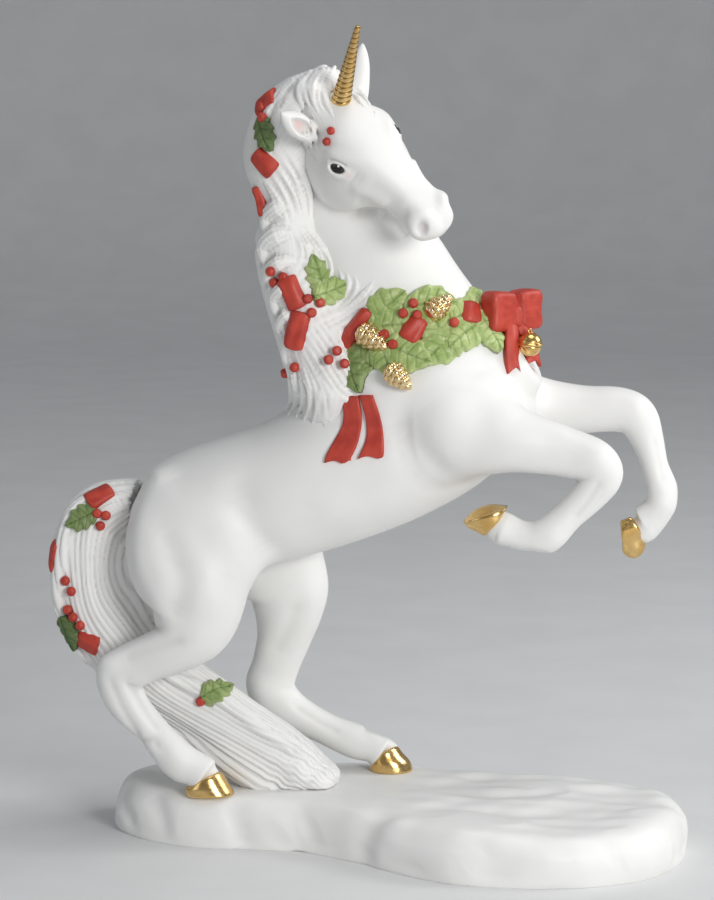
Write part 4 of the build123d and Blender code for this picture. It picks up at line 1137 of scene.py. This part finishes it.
def build_horn():
    """A tapering horn with a ridge winding up it."""
    axis = DOWN * -0.15 + OUT * 0.99
    axis /= np.linalg.norm(axis)
    root = on_head(0.09, 0.04, 0.16) - axis * 0.6
    u = np.cross(axis, LEFT)
    u /= np.linalg.norm(u)
    v = np.cross(axis, u)
    t = np.linspace(0, 1, HORN_ROWS)[:, None]
    turn = np.linspace(0, 2 * math.pi, HORN_AROUND, endpoint=False)[None, :]
    wind = (t * HORN_TURNS - turn / (2 * math.pi)) % 1.0
    ridge = np.sin(math.pi * np.clip(wind / 0.88, 0, 1)) ** 0.6
    radius = (HORN_RADIUS - HORN_TAPER * t) * (0.80 + 0.20 * ridge)
    radius = radius * np.sqrt(np.clip((1 - t) * 40, 0, 1))
    around = u * np.cos(turn)[..., None] + v * np.sin(turn)[..., None]
    p = root + axis * (t * HORN_LENGTH)[..., None] + around * radius[..., None]
    points = p.reshape(-1, 3)
    quads = ring_faces(HORN_ROWS, HORN_AROUND)
    # painted shade in the grooves between the ridge's turns
    sunk = np.broadcast_to(np.clip(0.9 - ridge * 1.1, 0, 0.8), radius.shape).reshape(-1)
    make_piece("horn_gilt", points, quads, GOLD, nodes_for=["horn"], marks={"sunk": sunk})


MANE_SKIN = build_mane()
TAIL_SKIN = build_tail()
build_base()
build_hooves()
build_horn()


# Trim, placed by shares of the horse's length, stance and height above the base's top
HORSE_LENGTH, STANCE, BASE_TOP, HORSE_HEIGHT = 174.0, 36.0, 14.0, 208.0


def horse_point(length_share, stance_share, height_share):
    height = BASE_TOP + height_share * HORSE_HEIGHT
    return np.array([length_share * HORSE_LENGTH, stance_share * STANCE, height])


CHEST = skin_tree(SKINS["body"])
CHEST_AND_MANE = skin_tree(SKINS["body"], MANE_SKIN)
MANE = skin_tree(MANE_SKIN)
TAIL = skin_tree(TAIL_SKIN)
FACE = skin_tree(SKINS["head"], MANE_SKIN)


def seat(tree, place, turn, slant=0.0):
    """The first point met from outside, and axes there: along the slant, across it, and out of the skin."""
    a = math.radians(turn)
    out = np.array([math.sin(a), -math.cos(a), 0.0])
    point = horse_point(*place)
    hit = tree.ray_cast(Vector(point + out * 60), Vector(-out))
    if hit[0] is None:
        hit = tree.find_nearest(Vector(point))
    point, normal = np.array(hit[0]), np.array(hit[1])
    if normal @ out < 0:
        normal = -normal
    # the skin's mean direction over a few millimetres
    side = np.cross((0, 0, 1.0), out)
    taken = [normal]
    for dx, dz in ((2, 0), (-2, 0), (0, 2), (0, -2)):
        near = tree.ray_cast(Vector(point + out * 30 + side * dx + np.array((0, 0, dz))), Vector(-out))
        if near[0] is not None and np.linalg.norm(np.array(near[0]) - point) < 6:
            n = np.array(near[1])
            taken.append(n if n @ out > 0 else -n)
    normal = np.mean(taken, 0)
    normal /= np.linalg.norm(normal)
    level = np.cross((0, 0, 1.0), normal)
    level /= np.linalg.norm(level)
    up = np.cross(normal, level)
    s = math.radians(slant)
    along = level * math.cos(s) + up * math.sin(s)
    return point, along, np.cross(normal, along), normal


def drape(tree, frame_axes, x, y, reach=6.0, limit=2.6, stiff=3.0):
    """A smooth sheet of heights over the skin at points of a seat's plane; a stiff sheet bends less."""
    origin, along, across, normal = frame_axes
    rows, heights = [], []
    for px, py in zip(x.ravel()[::3], y.ravel()[::3]):
        start = origin + along * px + across * py + normal * reach
        hit = tree.ray_cast(Vector(start), Vector(-normal), 2 * reach)
        if hit[0] is not None:
            rows.append((1, px, py, px * px, px * py, py * py))
            heights.append(reach - hit[3])
    if len(rows) < 12:
        return np.zeros_like(x)
    rows, heights = np.array(rows), np.array(heights)
    keep = np.abs(heights - np.median(heights)) < limit
    rows, heights = rows[keep], heights[keep]
    hold = np.zeros((3, 6))
    hold[[0, 1, 2], [3, 4, 5]] = stiff * len(rows) ** 0.5
    rows, heights = np.vstack([rows, hold]), np.concatenate([heights, np.zeros(3)])
    fit = np.linalg.lstsq(rows, heights, rcond=None)[0]
    z = fit[0] + fit[1] * x + fit[2] * y + fit[3] * x * x + fit[4] * x * y + fit[5] * y * y
    return np.clip(z, -limit - 1, limit + 1)


class Heap:
    """Gathers the meshes of one node."""

    def __init__(self):
        self.points, self.faces, self.marks, self.count = [], [], {}, 0

    def add(self, points, faces, **marks):
        self.points.append(points)
        self.faces.append(np.asarray(faces) + self.count)
        for key, values in marks.items():
            self.marks.setdefault(key, []).append(values)
        self.count += len(points)

    def piece(self, name, material, nodes_for):
        marks = {key: np.concatenate(values) for key, values in self.marks.items()}
        points, faces = np.concatenate(self.points), np.concatenate(self.faces)
        make_piece(name, points, faces, material, nodes_for=nodes_for, marks=marks)


def grid_faces(rows, columns):
    i = np.arange(rows - 1)[:, None] * columns
    j = np.arange(columns - 1)[None, :]
    return np.stack([i + j, i + j + 1, i + columns + j + 1, i + columns + j], -1).reshape(-1, 4)


def closed_sheet(heap, upper, lower, **marks):
    """A closed sheet between two grids of points."""
    rows, columns = upper.shape[:2]
    n = rows * columns
    faces = [grid_faces(rows, columns), grid_faces(rows, columns)[:, ::-1] + n]
    loop = list(range(columns)) + [r * columns + columns - 1 for r in range(1, rows)]
    loop += [(rows - 1) * columns + c for c in range(columns - 2, -1, -1)]
    loop += [r * columns for r in range(rows - 2, 0, -1)]
    loop = np.array(loop)
    ahead = np.roll(loop, -1)
    faces.append(np.stack([ahead, loop, loop + n, ahead + n], 1))
    both = {k: np.concatenate([v.ravel(), v.ravel()]) for k, v in marks.items()}
    heap.add(np.concatenate([upper.reshape(-1, 3), lower.reshape(-1, 3)]), np.concatenate(faces), **both)


def plate(heap, frame_axes, x, y, top, thickness, **marks):
    """A closed plate over a seat: a grid of points x, y with heights of its top."""
    origin, along, across, normal = frame_axes
    flat = origin + x[..., None] * along + y[..., None] * across
    closed_sheet(heap, flat + top[..., None] * normal, flat + (top - thickness)[..., None] * normal, **marks)


# A leaf's length and width, its thickness, and its edge: half widths at places along it, all as shares
LEAF_SIZE, LEAF_THICKNESS = (13.2, 9.6), 1.1
LEAF_EDGE = (
    (0.0, 0.07, 0.19, 0.30, 0.44, 0.56, 0.70, 0.82, 0.93, 1.0),
    (0.07, 0.24, 0.47, 0.36, 0.54, 0.38, 0.46, 0.25, 0.13, 0.02),
)


def add_leaf(heap, tree, row, lift, soft, dark):
    """A holly leaf with soft lobes, a sunk midrib and sunk veins."""
    place, turn, slant, share = row[:3], row[3], row[4], row[5]
    axes = seat(tree, place, turn, slant)
    edge = np.interp(np.linspace(0, 1, 61), *LEAF_EDGE)
    edge = edge * (1 - soft) + soft * 0.47 * np.sin(np.linspace(0, math.pi, 61)) ** 0.6
    for _ in range(6):
        edge[1:-1] = 0.25 * edge[:-2] + 0.5 * edge[1:-1] + 0.25 * edge[2:]
    t = np.linspace(0, 1, 61)[:, None] + np.zeros((1, 31))
    v = np.linspace(-1, 1, 31)[None, :] + np.zeros((61, 1))
    half = edge[:, None]
    lobe = np.cos((t - 0.19) / 0.253 * 2 * math.pi) * np.clip(t * 6, 0, 1) * np.clip((1 - t) * 4, 0, 1)
    x = (t - 0.5 + 0.03 * np.abs(v) ** 2 * lobe) * LEAF_SIZE[0] * share
    bend = 0.10 * np.sin(t * 3.0 + place[0] * 90)
    y = (v * half + bend * 0.6) * LEAF_SIZE[1] * share
    rib = np.exp(-(((v * half) / 0.030) ** 2))
    side = (t * (4.0 + 3.0 * soft) - np.abs(v) * 0.75 + 0.25) % 1.0
    veins = np.exp(-(((side - 0.5) / 0.085) ** 2)) * np.clip((0.9 - np.abs(v)) * 6, 0, 1) * (t > 0.04)
    puff = 0.42 * np.sqrt(np.clip(1 - np.abs(v) ** 3, 0, 1)) + 0.22 * lobe * np.abs(v)
    curl = 0.7 * (t - 0.4) ** 2 - 0.5 * np.abs(v) ** 5
    top = drape(tree, axes, x, y, stiff=1.0) + lift + puff - 0.40 * rib - 0.26 * veins + curl
    # where the midrib and veins sink, kept as a mark for painted shade
    vein = np.clip(rib + 0.8 * veins, 0, 1)
    rim = np.clip((np.abs(v) - 0.72) / 0.28, 0, 1) ** 1.5
    plate(heap, axes, x, y, top, LEAF_THICKNESS, vein=vein, rim=rim, dark=np.full_like(v, dark))


# A ribbon band's length, width, thickness and the rise of its middle
RIBBON_LENGTH, RIBBON_WIDTH, RIBBON_THICKNESS, RIBBON_CROWN = 6.4, 5.8, 1.7, 0.8


def add_ribbon(heap, tree, row, lift):
    """A band of ribbon over the hair or the garland; its row may end in a width of its own."""
    place, turn, slant, share = row[:3], row[3], row[4], row[5]
    width = row[6] if len(row) > 6 else RIBBON_WIDTH
    axes = seat(tree, place, turn, slant)
    u = np.linspace(-1, 1, 33)[:, None] + np.zeros((1, 17))
    v = np.linspace(-1, 1, 17)[None, :] + np.zeros((33, 1))
    length = RIBBON_LENGTH * share
    x = u * length / 2 * (1 - 0.10 * v**4)
    y = v * width / 2 * (1 - 0.08 * u**4 - 0.05 * np.sin(u * 2.2 + place[2] * 50))
    edge = np.maximum(np.abs(u) ** 5, np.abs(v) ** 5)
    top = drape(tree, axes, x, y, limit=1.8, stiff=6.0) + lift + RIBBON_CROWN * (1 - v * v) - 0.55 * edge
    top = top + 0.18 * np.sin(v * 5.0 + u * 1.2) * (1 - edge)
    plate(heap, axes, x, y, top, RIBBON_THICKNESS)


def ball_points(rows=20, around=28):
    """Points and quads of a ball of radius 1, open by a pinhole at its poles."""
    t = np.linspace(0.02, math.pi - 0.02, rows)[:, None]
    f = np.linspace(0, 2 * math.pi, around, endpoint=False)[None, :]
    p = np.stack([np.sin(t) * np.cos(f), np.sin(t) * np.sin(f), np.cos(t) + 0 * f], -1).reshape(-1, 3)
    return p, np.roll(ring_faces(rows, around)[:, ::-1], 1, axis=1)


def add_berry(heap, tree, row, radius, lift):
    """A round berry with a dimple."""
    point, along, across, normal = seat(tree, row[:3], row[3])
    p, faces = ball_points()
    dimple = 1 - 0.16 * np.exp(-(((p[:, 2] - 1) / 0.10) ** 2)) + 0.015 * np.sin(5 * p[:, 0] + 9 * p[:, 1])
    p = p * dimple[:, None] * radius
    middle = point + normal * (radius * 0.6 + lift)
    heap.add(middle + p[:, :1] * along + p[:, 1:2] * across + p[:, 2:] * normal, faces)


CONE_LENGTH, CONE_RADIUS = 9.2, 3.1
CONE_OUTLINE = ((0, 0.05, 0.22, 0.45, 0.75, 0.95, 1), (0.0, 0.62, 1.0, 0.96, 0.62, 0.24, 0.0))


def add_cone(heap, tree, row):
    """A pine cone with rows of scales winding round it."""
    share = row[5]
    point, along, across, normal = seat(tree, row[:3], row[3], row[4])
    rows, around = 90, 72
    t = np.linspace(0, 1, rows)[:, None]
    f = np.linspace(0, 2 * math.pi, around, endpoint=False)[None, :]
    outline = np.interp(t, *CONE_OUTLINE)
    ring = t * 6.0
    cell = f / (2 * math.pi) * 7 + 0.5 * np.floor(ring)
    a, b = ring % 1 - 0.5, cell % 1 - 0.5
    scale = np.sqrt(np.clip(1 - 3.0 * (a * a * 1.1 + b * b), 0, 1))
    r = CONE_RADIUS * share * outline * (0.78 + 0.30 * scale)
    x = (t - 0.5) * CONE_LENGTH * share + 0 * f
    p = point + normal * CONE_RADIUS * share * 0.62
    p = p + x[..., None] * along + (r * np.cos(f))[..., None] * across + (r * np.sin(f))[..., None] * normal
    heap.add(p.reshape(-1, 3), ring_faces(rows, around), pale=np.full(rows * around, 0.5))


# Trim by place: three shares, then its facing in degrees; leaves, ribbons and cones add their slant and a
# share of their full size
GARLAND_LEAVES = [
    (-0.004, -0.44, 0.643, 3, 45, 1.15), (0.061, -0.37, 0.650, 22, 0, 1.12),
    (0.110, -0.23, 0.642, 45, 20, 1.00), (0.132, -0.12, 0.650, 66, 30, 0.95),
    (0.132, -0.20, 0.613, 46, -80, 0.90), (0.110, -0.31, 0.614, 35, -150, 1.05),
    (0.079, -0.42, 0.604, 20, -130, 1.20), (0.031, -0.47, 0.593, 2, -20, 1.12),
    (-0.004, -0.48, 0.588, -4, -70, 0.95), (-0.049, -0.45, 0.585, -14, 160, 0.95),
    (-0.050, -0.45, 0.565, -16, -55, 0.95), (0.003, -0.46, 0.622, 1, 10, 1.15),
    (0.075, -0.40, 0.628, 25, 110, 1.15), (0.075, 0.40, 0.628, 155, 20, 1.15),
    (0.110, 0.27, 0.630, 140, -30, 1.05), (0.036, 0.45, 0.622, 170, 160, 1.2),
    (0.003, 0.46, 0.615, 179, 30, 1.2), (-0.030, 0.46, 0.600, 186, 200, 1.1),
]
GARLAND_RIBBONS = [
    (-0.050, -0.44, 0.620, -10, 54, 1.95, 4.2), (0.039, -0.45, 0.620, 10, 60, 1.10),
    (0.114, -0.24, 0.637, 44, 75, 1.0),
]
GARLAND_CONES = [
    (-0.019, -0.46, 0.607, -4, -30, 1.1), (0.073, -0.36, 0.647, 27, 38, 1.0),
    (0.024, -0.49, 0.559, 1, -40, 1.0),
]
GARLAND_BERRIES = [
    (-0.002, -0.47, 0.613, -1), (0.012, -0.47, 0.600, -1), (0.036, -0.41, 0.652, 15),
    (0.023, -0.44, 0.640, 8), (0.043, -0.42, 0.637, 13), (0.092, -0.35, 0.625, 32),
    (0.131, -0.13, 0.637, 67), (0.141, -0.11, 0.620, 73), (-0.079, -0.55, 0.592, 27),
    (-0.090, -0.58, 0.580, 19), (-0.069, -0.55, 0.576, 36), (0.060, 0.43, 0.625, 165),
    (0.020, 0.46, 0.612, 175),
]
MANE_RIBBONS = [
    (-0.146, -0.56, 0.666, -3, -65, 1.40), (-0.138, -0.56, 0.618, -22, 75, 1.60),
    (-0.187, -0.59, 0.831, -17, -45, 1.15), (-0.183, -0.54, 0.908, -50, 40, 1.20),
    (-0.198, -0.44, 0.782, -47, -80, 1.25, 4.0),
]
MANE_LEAVES = [
    (-0.110, -0.49, 0.690, 30, 105, 0.78), (-0.093, -0.46, 0.668, 40, 10, 0.78),
    (-0.182, -0.63, 0.868, -27, -65, 0.74),
]
MANE_BERRIES = [
    (-0.174, -0.52, 0.694, -17), (-0.160, -0.54, 0.686, -14), (-0.176, -0.51, 0.678, -28),
    (-0.122, -0.55, 0.658, 19), (-0.104, -0.53, 0.653, 20), (-0.115, -0.56, 0.641, 17),
    (-0.160, -0.40, 0.560, -50), (-0.140, -0.52, 0.570, -36), (-0.190, -0.58, 0.900, -52),
    (-0.180, -0.62, 0.888, -35),
]
# How dark some leaves are painted, by group and number
DARK_LEAVES = {
    ("garland", 9): 0.35, ("garland", 10): 0.45, ("mane", 0): 0.2, ("mane", 2): 0.75, ("tail", 0): 0.6,
    ("tail", 1): 0.85, ("tail", 2): 0.3,
}
FOREHEAD_BERRIES = [(-0.070, -0.85, 0.873, -20), (-0.078, -0.83, 0.860, -37)]
TAIL_RIBBONS = [
    (-0.478, -0.18, 0.386, -10, 30, 1.20), (-0.552, -0.20, 0.302, -41, 80, 1.35),
    (-0.497, -0.26, 0.187, -21, -20, 1.05),
]
TAIL_LEAVES = [
    (-0.504, -0.26, 0.357, -15, 200, 0.75), (-0.526, -0.21, 0.200, -35, -75, 0.80),
    (-0.293, -0.14, 0.129, 32, 20, 0.80),
]
TAIL_BERRIES = [
    (-0.478, -0.27, 0.363, 9), (-0.464, -0.26, 0.361, 17), (-0.474, -0.27, 0.348, 16),
    (-0.530, -0.27, 0.272, -13), (-0.520, -0.28, 0.258, -12), (-0.528, -0.25, 0.232, -23),
    (-0.517, -0.27, 0.223, -22), (-0.506, -0.27, 0.212, -14), (-0.313, -0.22, 0.114, 12),
]


STREAMERS = [
    (
        [(343, 396), (345, 411), (343, 425), (335, 440), (327, 455), (325, 463)],
        [(359, 396), (362, 415), (361, 430), (357, 446), (351, 458), (349, 462)],
        [(325, 463), (332, 461), (337, 459), (340, 463), (344, 466), (351, 459)],
    ),
    (
        [(360, 395), (365, 410), (367, 425), (366, 440), (361, 453), (358, 459)],
        [(373, 395), (379, 412), (383, 430), (384, 445), (384, 454), (383, 459)],
        [(358, 459), (364, 456), (369, 455), (374, 457), (379, 460), (383, 457)],
    ),
]


def build_streamers():
    """Two notched ribbon ends lying on the shoulder."""
    heap = Heap()
    rows, columns = 44, 13
    v = np.linspace(0, 1, columns)
    for left, right, end in STREAMERS:
        a, b, c = smooth_line(left, rows), smooth_line(right, rows), smooth_line(end, columns)
        u = np.linspace(0, 1, rows)[:, None, None]
        pixels = a[:, None] * (1 - v[None, :, None]) + b[:, None] * v[None, :, None]
        pixels = pixels + (c - pixels[-1])[None] * u**9
        p = np.array([[skin_point(CHEST, *pixel) for pixel in row] for row in pixels])
        for _ in range(8):
            p[1:-1] = 0.25 * p[:-2] + 0.5 * p[1:-1] + 0.25 * p[2:]
            p[:, 1:-1] = 0.25 * p[:, :-2] + 0.5 * p[:, 1:-1] + 0.25 * p[:, 2:]
        normal = np.cross(np.gradient(p, axis=1), np.gradient(p, axis=0))
        normal /= np.linalg.norm(normal, axis=2)[..., None]
        if (normal @ camera_axes()[2]).mean() < 0:
            normal = -normal
        across = np.abs(2 * v - 1)[None, :]
        rise = 0.75 + 0.25 * np.sin(u[..., 0] * 9 + 1.5 * v[None, :]) - 0.3 * across**6 + 0.25 * across**2
        closed_sheet(heap, p + normal * rise[..., None], p - normal * 0.8)
    heap.piece("shoulder_streamer_ends", RED, ["shoulder_streamers"])


BOW_AT = horse_point(0.177, -0.06, 0.641)
BOW_FACING = math.radians(53)
BOW_OUT = np.array([math.sin(BOW_FACING), -math.cos(BOW_FACING), 0.0])
BOW_SIDE = np.array([math.cos(BOW_FACING), math.sin(BOW_FACING), 0.0])
# Clay round the bow's middle, and past its knot
BOW_ROOM, KNOT_ROOM = 14, 9
UP = np.array([0.0, 0.0, 1.0])
BOW_TAILS = [
    [(0.178, -0.13, 0.628), (0.182, -0.20, 0.606), (0.186, -0.25, 0.580), (0.188, -0.26, 0.558)],
    [(0.186, -0.06, 0.628), (0.202, -0.04, 0.604), (0.209, -0.04, 0.580), (0.211, -0.04, 0.566)],
]
# The bell's middle and radius, its ring's radii, and the ring's rows and columns
BELL_AT, BELL_RADIUS = horse_point(0.208, -0.13, 0.599), 3.3
BELL_RING, BELL_WIRE, RING_ROWS, WIRE_ROWS = 0.6, 0.25, 40, 14


def build_bow():
    """Two cushioned loops with folds drawn in to the knot, the knot's wrap, and two notched tails."""
    clay = Clay(BOW_AT - BOW_ROOM, BOW_AT + BOW_ROOM, BOW_VOXEL)
    clay.d = np.full(tuple(clay.n), 9.0, np.float32)
    for side in (-1, 1):
        middle = BOW_AT + BOW_SIDE * (side * 4.8)
        ellipsoid(clay, middle, (BOW_SIDE, UP, BOW_OUT), (4.8, 5.5, 3.4), 0.5, power=5.0)
    for side in (-1, 1):
        front = BOW_AT + BOW_OUT * 2.9
        for rise, reach in ((3.6, 6.5), (1.3, 7.5), (-1.4, 7.0), (-3.8, 5.5)):
            line = []
            for k in np.linspace(0.8, reach, 6):
                line.append(front + BOW_SIDE * (side * k) + UP * (rise * (0.35 + 0.65 * k / reach)))
            clay.groove(line, 0.8, 0.2)
        crease = [front + BOW_SIDE * (0.5 + 0.12 * k) - UP * k for k in np.linspace(-5.5, 5.5, 8)]
        clay.groove(crease, 0.8, 0.35)
        clay.bump(BOW_AT + BOW_SIDE * (side * 9.6), 3.0, -0.8)
        clay.bump(BOW_AT + BOW_SIDE * (side * 1.6) + UP * 6.2, 2.2, -0.5)
        clay.bump(BOW_AT + BOW_SIDE * (side * 1.6) - UP * 6.2, 2.4, -0.6)
    points, quads, normals = clay.skin()
    make_piece("bow_loop_pair", points, quads, RED, ["bow_loops"], normals)
    clay = Clay(BOW_AT - BOW_ROOM, BOW_AT + KNOT_ROOM, BOW_VOXEL)
    clay.d = np.full(tuple(clay.n), 9.0, np.float32)
    wrap = BOW_AT + BOW_OUT * 1.5 - UP * 1.6
    ellipsoid(clay, wrap, (BOW_SIDE, UP, BOW_OUT), (1.5, 3.0, 2.0), 0.8, power=3.0)
    clay.rod([BOW_AT, BOW_AT - BOW_OUT * 8.5], [2.0, 2.4], 0.8)
    for shift in (-0.7, 0.6):
        front = BOW_AT + BOW_OUT * 3.9
        line = [front + BOW_SIDE * (shift + 0.2 * k) + UP * (k - 0.5) for k in np.linspace(-3, 3, 6)]
        clay.groove(line, 0.5, 0.35)
    points, quads, normals = clay.skin()
    make_piece("bow_knot_wrap", points, quads, RED, ["bow_knot"], normals)
    heap = Heap()
    rows, columns = 40, 15
    v = np.linspace(-1, 1, columns)[None, :, None]
    for k, row in enumerate(BOW_TAILS):
        line = smooth_line([horse_point(*place) for place in row], rows)
        t = np.linspace(0, 1, rows)[:, None, None]
        way = np.gradient(line, axis=0)
        way = (way / np.linalg.norm(way, axis=1)[:, None])[:, None]
        normal = np.cross(way, BOW_SIDE)
        normal = normal * np.sign((normal @ BOW_OUT).mean())
        back = (2.6 * (1 - np.abs(v - 0.1)) + 1.4 * (0.5 - 0.5 * v)) * t**7
        p = line[:, None] + BOW_SIDE * v * 2.5 * (0.8 + 0.2 * t) - way * back
        p = p + normal * (0.35 * np.cos(v * 2.4) + 0.22 * np.sin(t * 8 + k))
        closed_sheet(heap, p + normal * 0.65, p - normal * 0.65)
    heap.piece("bow_tail_ends", RED, ["bow_tails"])


def build_bell():
    """A sleigh bell: a banded ball with a slot that ends in two round holes, on a small ring."""
    heap = Heap()
    p, faces = ball_points(96, 128)
    band = 0.10 * np.exp(-((p[:, 2] / 0.07) ** 2)) - 0.035 * np.exp(-(((np.abs(p[:, 2]) - 0.16) / 0.04) ** 2))
    low = np.clip(-p[:, 2] * 4 - 0.6, 0, 1)
    slot = np.exp(-((p[:, 1] / 0.07) ** 4)) * low
    holes = sum(np.exp(-(((p[:, 0] - end) ** 2 + p[:, 1] ** 2) / 0.022)) for end in (0.78, -0.78))
    size = 1 + band - 0.20 * np.clip(slot + holes * (p[:, 2] < 0), 0, 1)
    turned = p * size[:, None] * BELL_RADIUS
    heap.add(BELL_AT + turned[:, :1] * BOW_SIDE + turned[:, 1:2] * BOW_OUT + turned[:, 2:] * UP, faces)
    around = np.linspace(0, 2 * math.pi, RING_ROWS, endpoint=False)
    thick = np.linspace(0, 2 * math.pi, WIRE_ROWS, endpoint=False)
    a, b = np.meshgrid(around, thick, indexing="ij")
    radius = BELL_RING + BELL_WIRE * np.cos(b)
    ring = BELL_AT + UP * 3.4 + (radius * np.cos(a))[..., None] * BOW_SIDE
    ring = ring + (radius * np.sin(a))[..., None] * UP + (BELL_WIRE * np.sin(b))[..., None] * BOW_OUT
    i, j = np.meshgrid(np.arange(RING_ROWS), np.arange(WIRE_ROWS), indexing="ij")
    ahead, beside = (i + 1) % RING_ROWS, (j + 1) % WIRE_ROWS
    corners = [(i, j), (ahead, j), (ahead, beside), (i, beside)]
    quads = np.stack([row * WIRE_ROWS + column for row, column in corners], -1)
    heap.add(ring.reshape(-1, 3), quads.reshape(-1, 4))
    heap.piece("sleigh_bell_gilt", GOLD, ["sleigh_bell"])


# Garland leaves are softer than holly, apart from the two that hang at its end
SOFT_LEAF, HOLLY_IN_GARLAND = 0.65, (9, 10)
BERRY_RADIUS, FOREHEAD_BERRY_RADIUS = 1.35, 1.1


def build_trim():
    """Leaves, ribbon bands, berries and cones, each group a piece of its own."""
    for word, tree, rows, lift in (
        ("garland", CHEST, GARLAND_LEAVES, 0.9),
        ("mane", MANE, MANE_LEAVES, 0.8),
        ("tail", TAIL, TAIL_LEAVES, 0.8),
    ):
        heap = Heap()
        for k, row in enumerate(rows):
            soft = SOFT_LEAF if word == "garland" and k not in HOLLY_IN_GARLAND else 0.0
            add_leaf(heap, tree, row, lift + 0.35 * (k * 5 % 3), soft, DARK_LEAVES.get((word, k), 0.0))
        heap.piece(word + "_holly", GREEN, [word + "_leaves"])
    for word, tree, rows, lift in (
        ("garland", CHEST, GARLAND_RIBBONS, 2.0),
        ("mane", MANE, MANE_RIBBONS, 0.8),
        ("tail", TAIL, TAIL_RIBBONS, 0.8),
    ):
        heap = Heap()
        for row in rows:
            add_ribbon(heap, tree, row, lift)
        heap.piece(word + "_ribbon_bands", RED, [word + "_ribbons"])
    for word, tree, rows, lift in (
        ("garland", CHEST_AND_MANE, GARLAND_BERRIES, 1.5),
        ("mane", MANE, MANE_BERRIES, 0),
        ("tail", TAIL, TAIL_BERRIES, 0),
        ("forehead", FACE, FOREHEAD_BERRIES, 0),
    ):
        heap = Heap()
        for row in rows:
            add_berry(heap, tree, row, FOREHEAD_BERRY_RADIUS if word == "forehead" else BERRY_RADIUS, lift)
        heap.piece(word + "_holly_berries", RED, [word + "_berries"])
    heap = Heap()
    for row in GARLAND_CONES:
        add_cone(heap, CHEST, row)
    heap.piece("garland_pine_cones", GOLD, ["garland_cones"])


build_trim()
build_streamers()
build_bow()
build_bell()
build_eyes()


# Stage, in metres: a round floor whose rim curves up, given by radius and height, and lamps by place, size,
# power and colour
BACKDROP = [
    (0.02, 0.0), (0.6, 0.0), (1.3, 0.0), (1.52, 0.03), (1.66, 0.11), (1.74, 0.24), (1.78, 0.42), (1.8, 0.75),
]
BACKDROP_TURNS = 64
FLOOR_GREYS = (0.70, 0.70, 0.70), (0.73, 0.73, 0.73)
FLOOR_ROUGHNESS = 0.8
WORLD_COLOUR, WORLD_STRENGTH = (0.9, 0.95, 1.0, 1), 0.27
LAMPS_AIM = Vector((0, 0, 0.11))
LAMPS = [
    ("key", (0.62, -0.72, 0.34), 0.30, 5.4, (1.0, 0.99, 0.975)),
    ("side", (0.62, 0.22, 0.52), 0.34, 2.2, (1.0, 1.0, 1.0)),
    ("top", (0.20, -0.10, 1.05), 0.50, 2.1, (1.0, 1.0, 1.0)),
    ("fill", (-0.85, -0.60, 0.40), 0.60, 0.9, (0.97, 0.985, 1.0)),
]


def build_floor():
    floor = Nodes("backdrop")
    speck = floor.noise(30.0, 3.0)
    floor.put(floor.shader.inputs["Base Color"], floor.mix(floor.ramp(speck, 0.3, 0.7), *FLOOR_GREYS))
    floor.shader.inputs["Roughness"].default_value = FLOOR_ROUGHNESS
    points, quads = [], [list(range(BACKDROP_TURNS))]
    for radius, z in BACKDROP:
        for a in np.arange(BACKDROP_TURNS) * math.tau / BACKDROP_TURNS:
            points.append((radius * math.cos(a), radius * math.sin(a), z))
    for k in range(len(BACKDROP) - 1):
        for j in range(BACKDROP_TURNS):
            a, b = k * BACKDROP_TURNS + j, k * BACKDROP_TURNS + (j + 1) % BACKDROP_TURNS
            quads.append((a, b, b + BACKDROP_TURNS, a + BACKDROP_TURNS))
    me = bpy.data.meshes.new("backdrop")
    me.from_pydata(points, [], quads)
    for polygon in me.polygons:
        polygon.use_smooth = True
    ob = bpy.data.objects.new("backdrop", me)
    me.materials.append(floor.material)
    bpy.context.scene.collection.objects.link(ob)


def build_lights():
    world = bpy.data.worlds.new("studio")
    bpy.context.scene.world = world
    world.use_nodes = True
    background = world.node_tree.nodes["Background"]
    background.inputs[0].default_value = WORLD_COLOUR
    background.inputs[1].default_value = WORLD_STRENGTH
    for name, place, size, power, colour in LAMPS:
        light = bpy.data.lights.new(name, "AREA")
        light.energy, light.size, light.color = power, size, colour
        lamp = bpy.data.objects.new(name, light)
        lamp.location = place
        lamp.rotation_mode = "QUATERNION"
        lamp.rotation_quaternion = (LAMPS_AIM - Vector(place)).to_track_quat("-Z", "Y")
        bpy.context.scene.collection.objects.link(lamp)


def build_camera():
    back = camera_axes()[2]
    camera = bpy.data.cameras.new("camera")
    camera.lens = LENS
    camera.sensor_width = SENSOR_WIDTH
    camera.clip_start = NEAREST_SEEN
    ob = bpy.data.objects.new("camera", camera)
    ob.location = (TARGET + back * DISTANCE) * M_PER_MM
    ob.rotation_mode = "QUATERNION"
    ob.rotation_quaternion = Vector(-back).to_track_quat("-Z", "Y")
    bpy.context.scene.collection.objects.link(ob)
    bpy.context.scene.camera = ob


build_floor()
build_lights()
build_camera()
bpy.context.scene.view_settings.view_transform = "Standard"
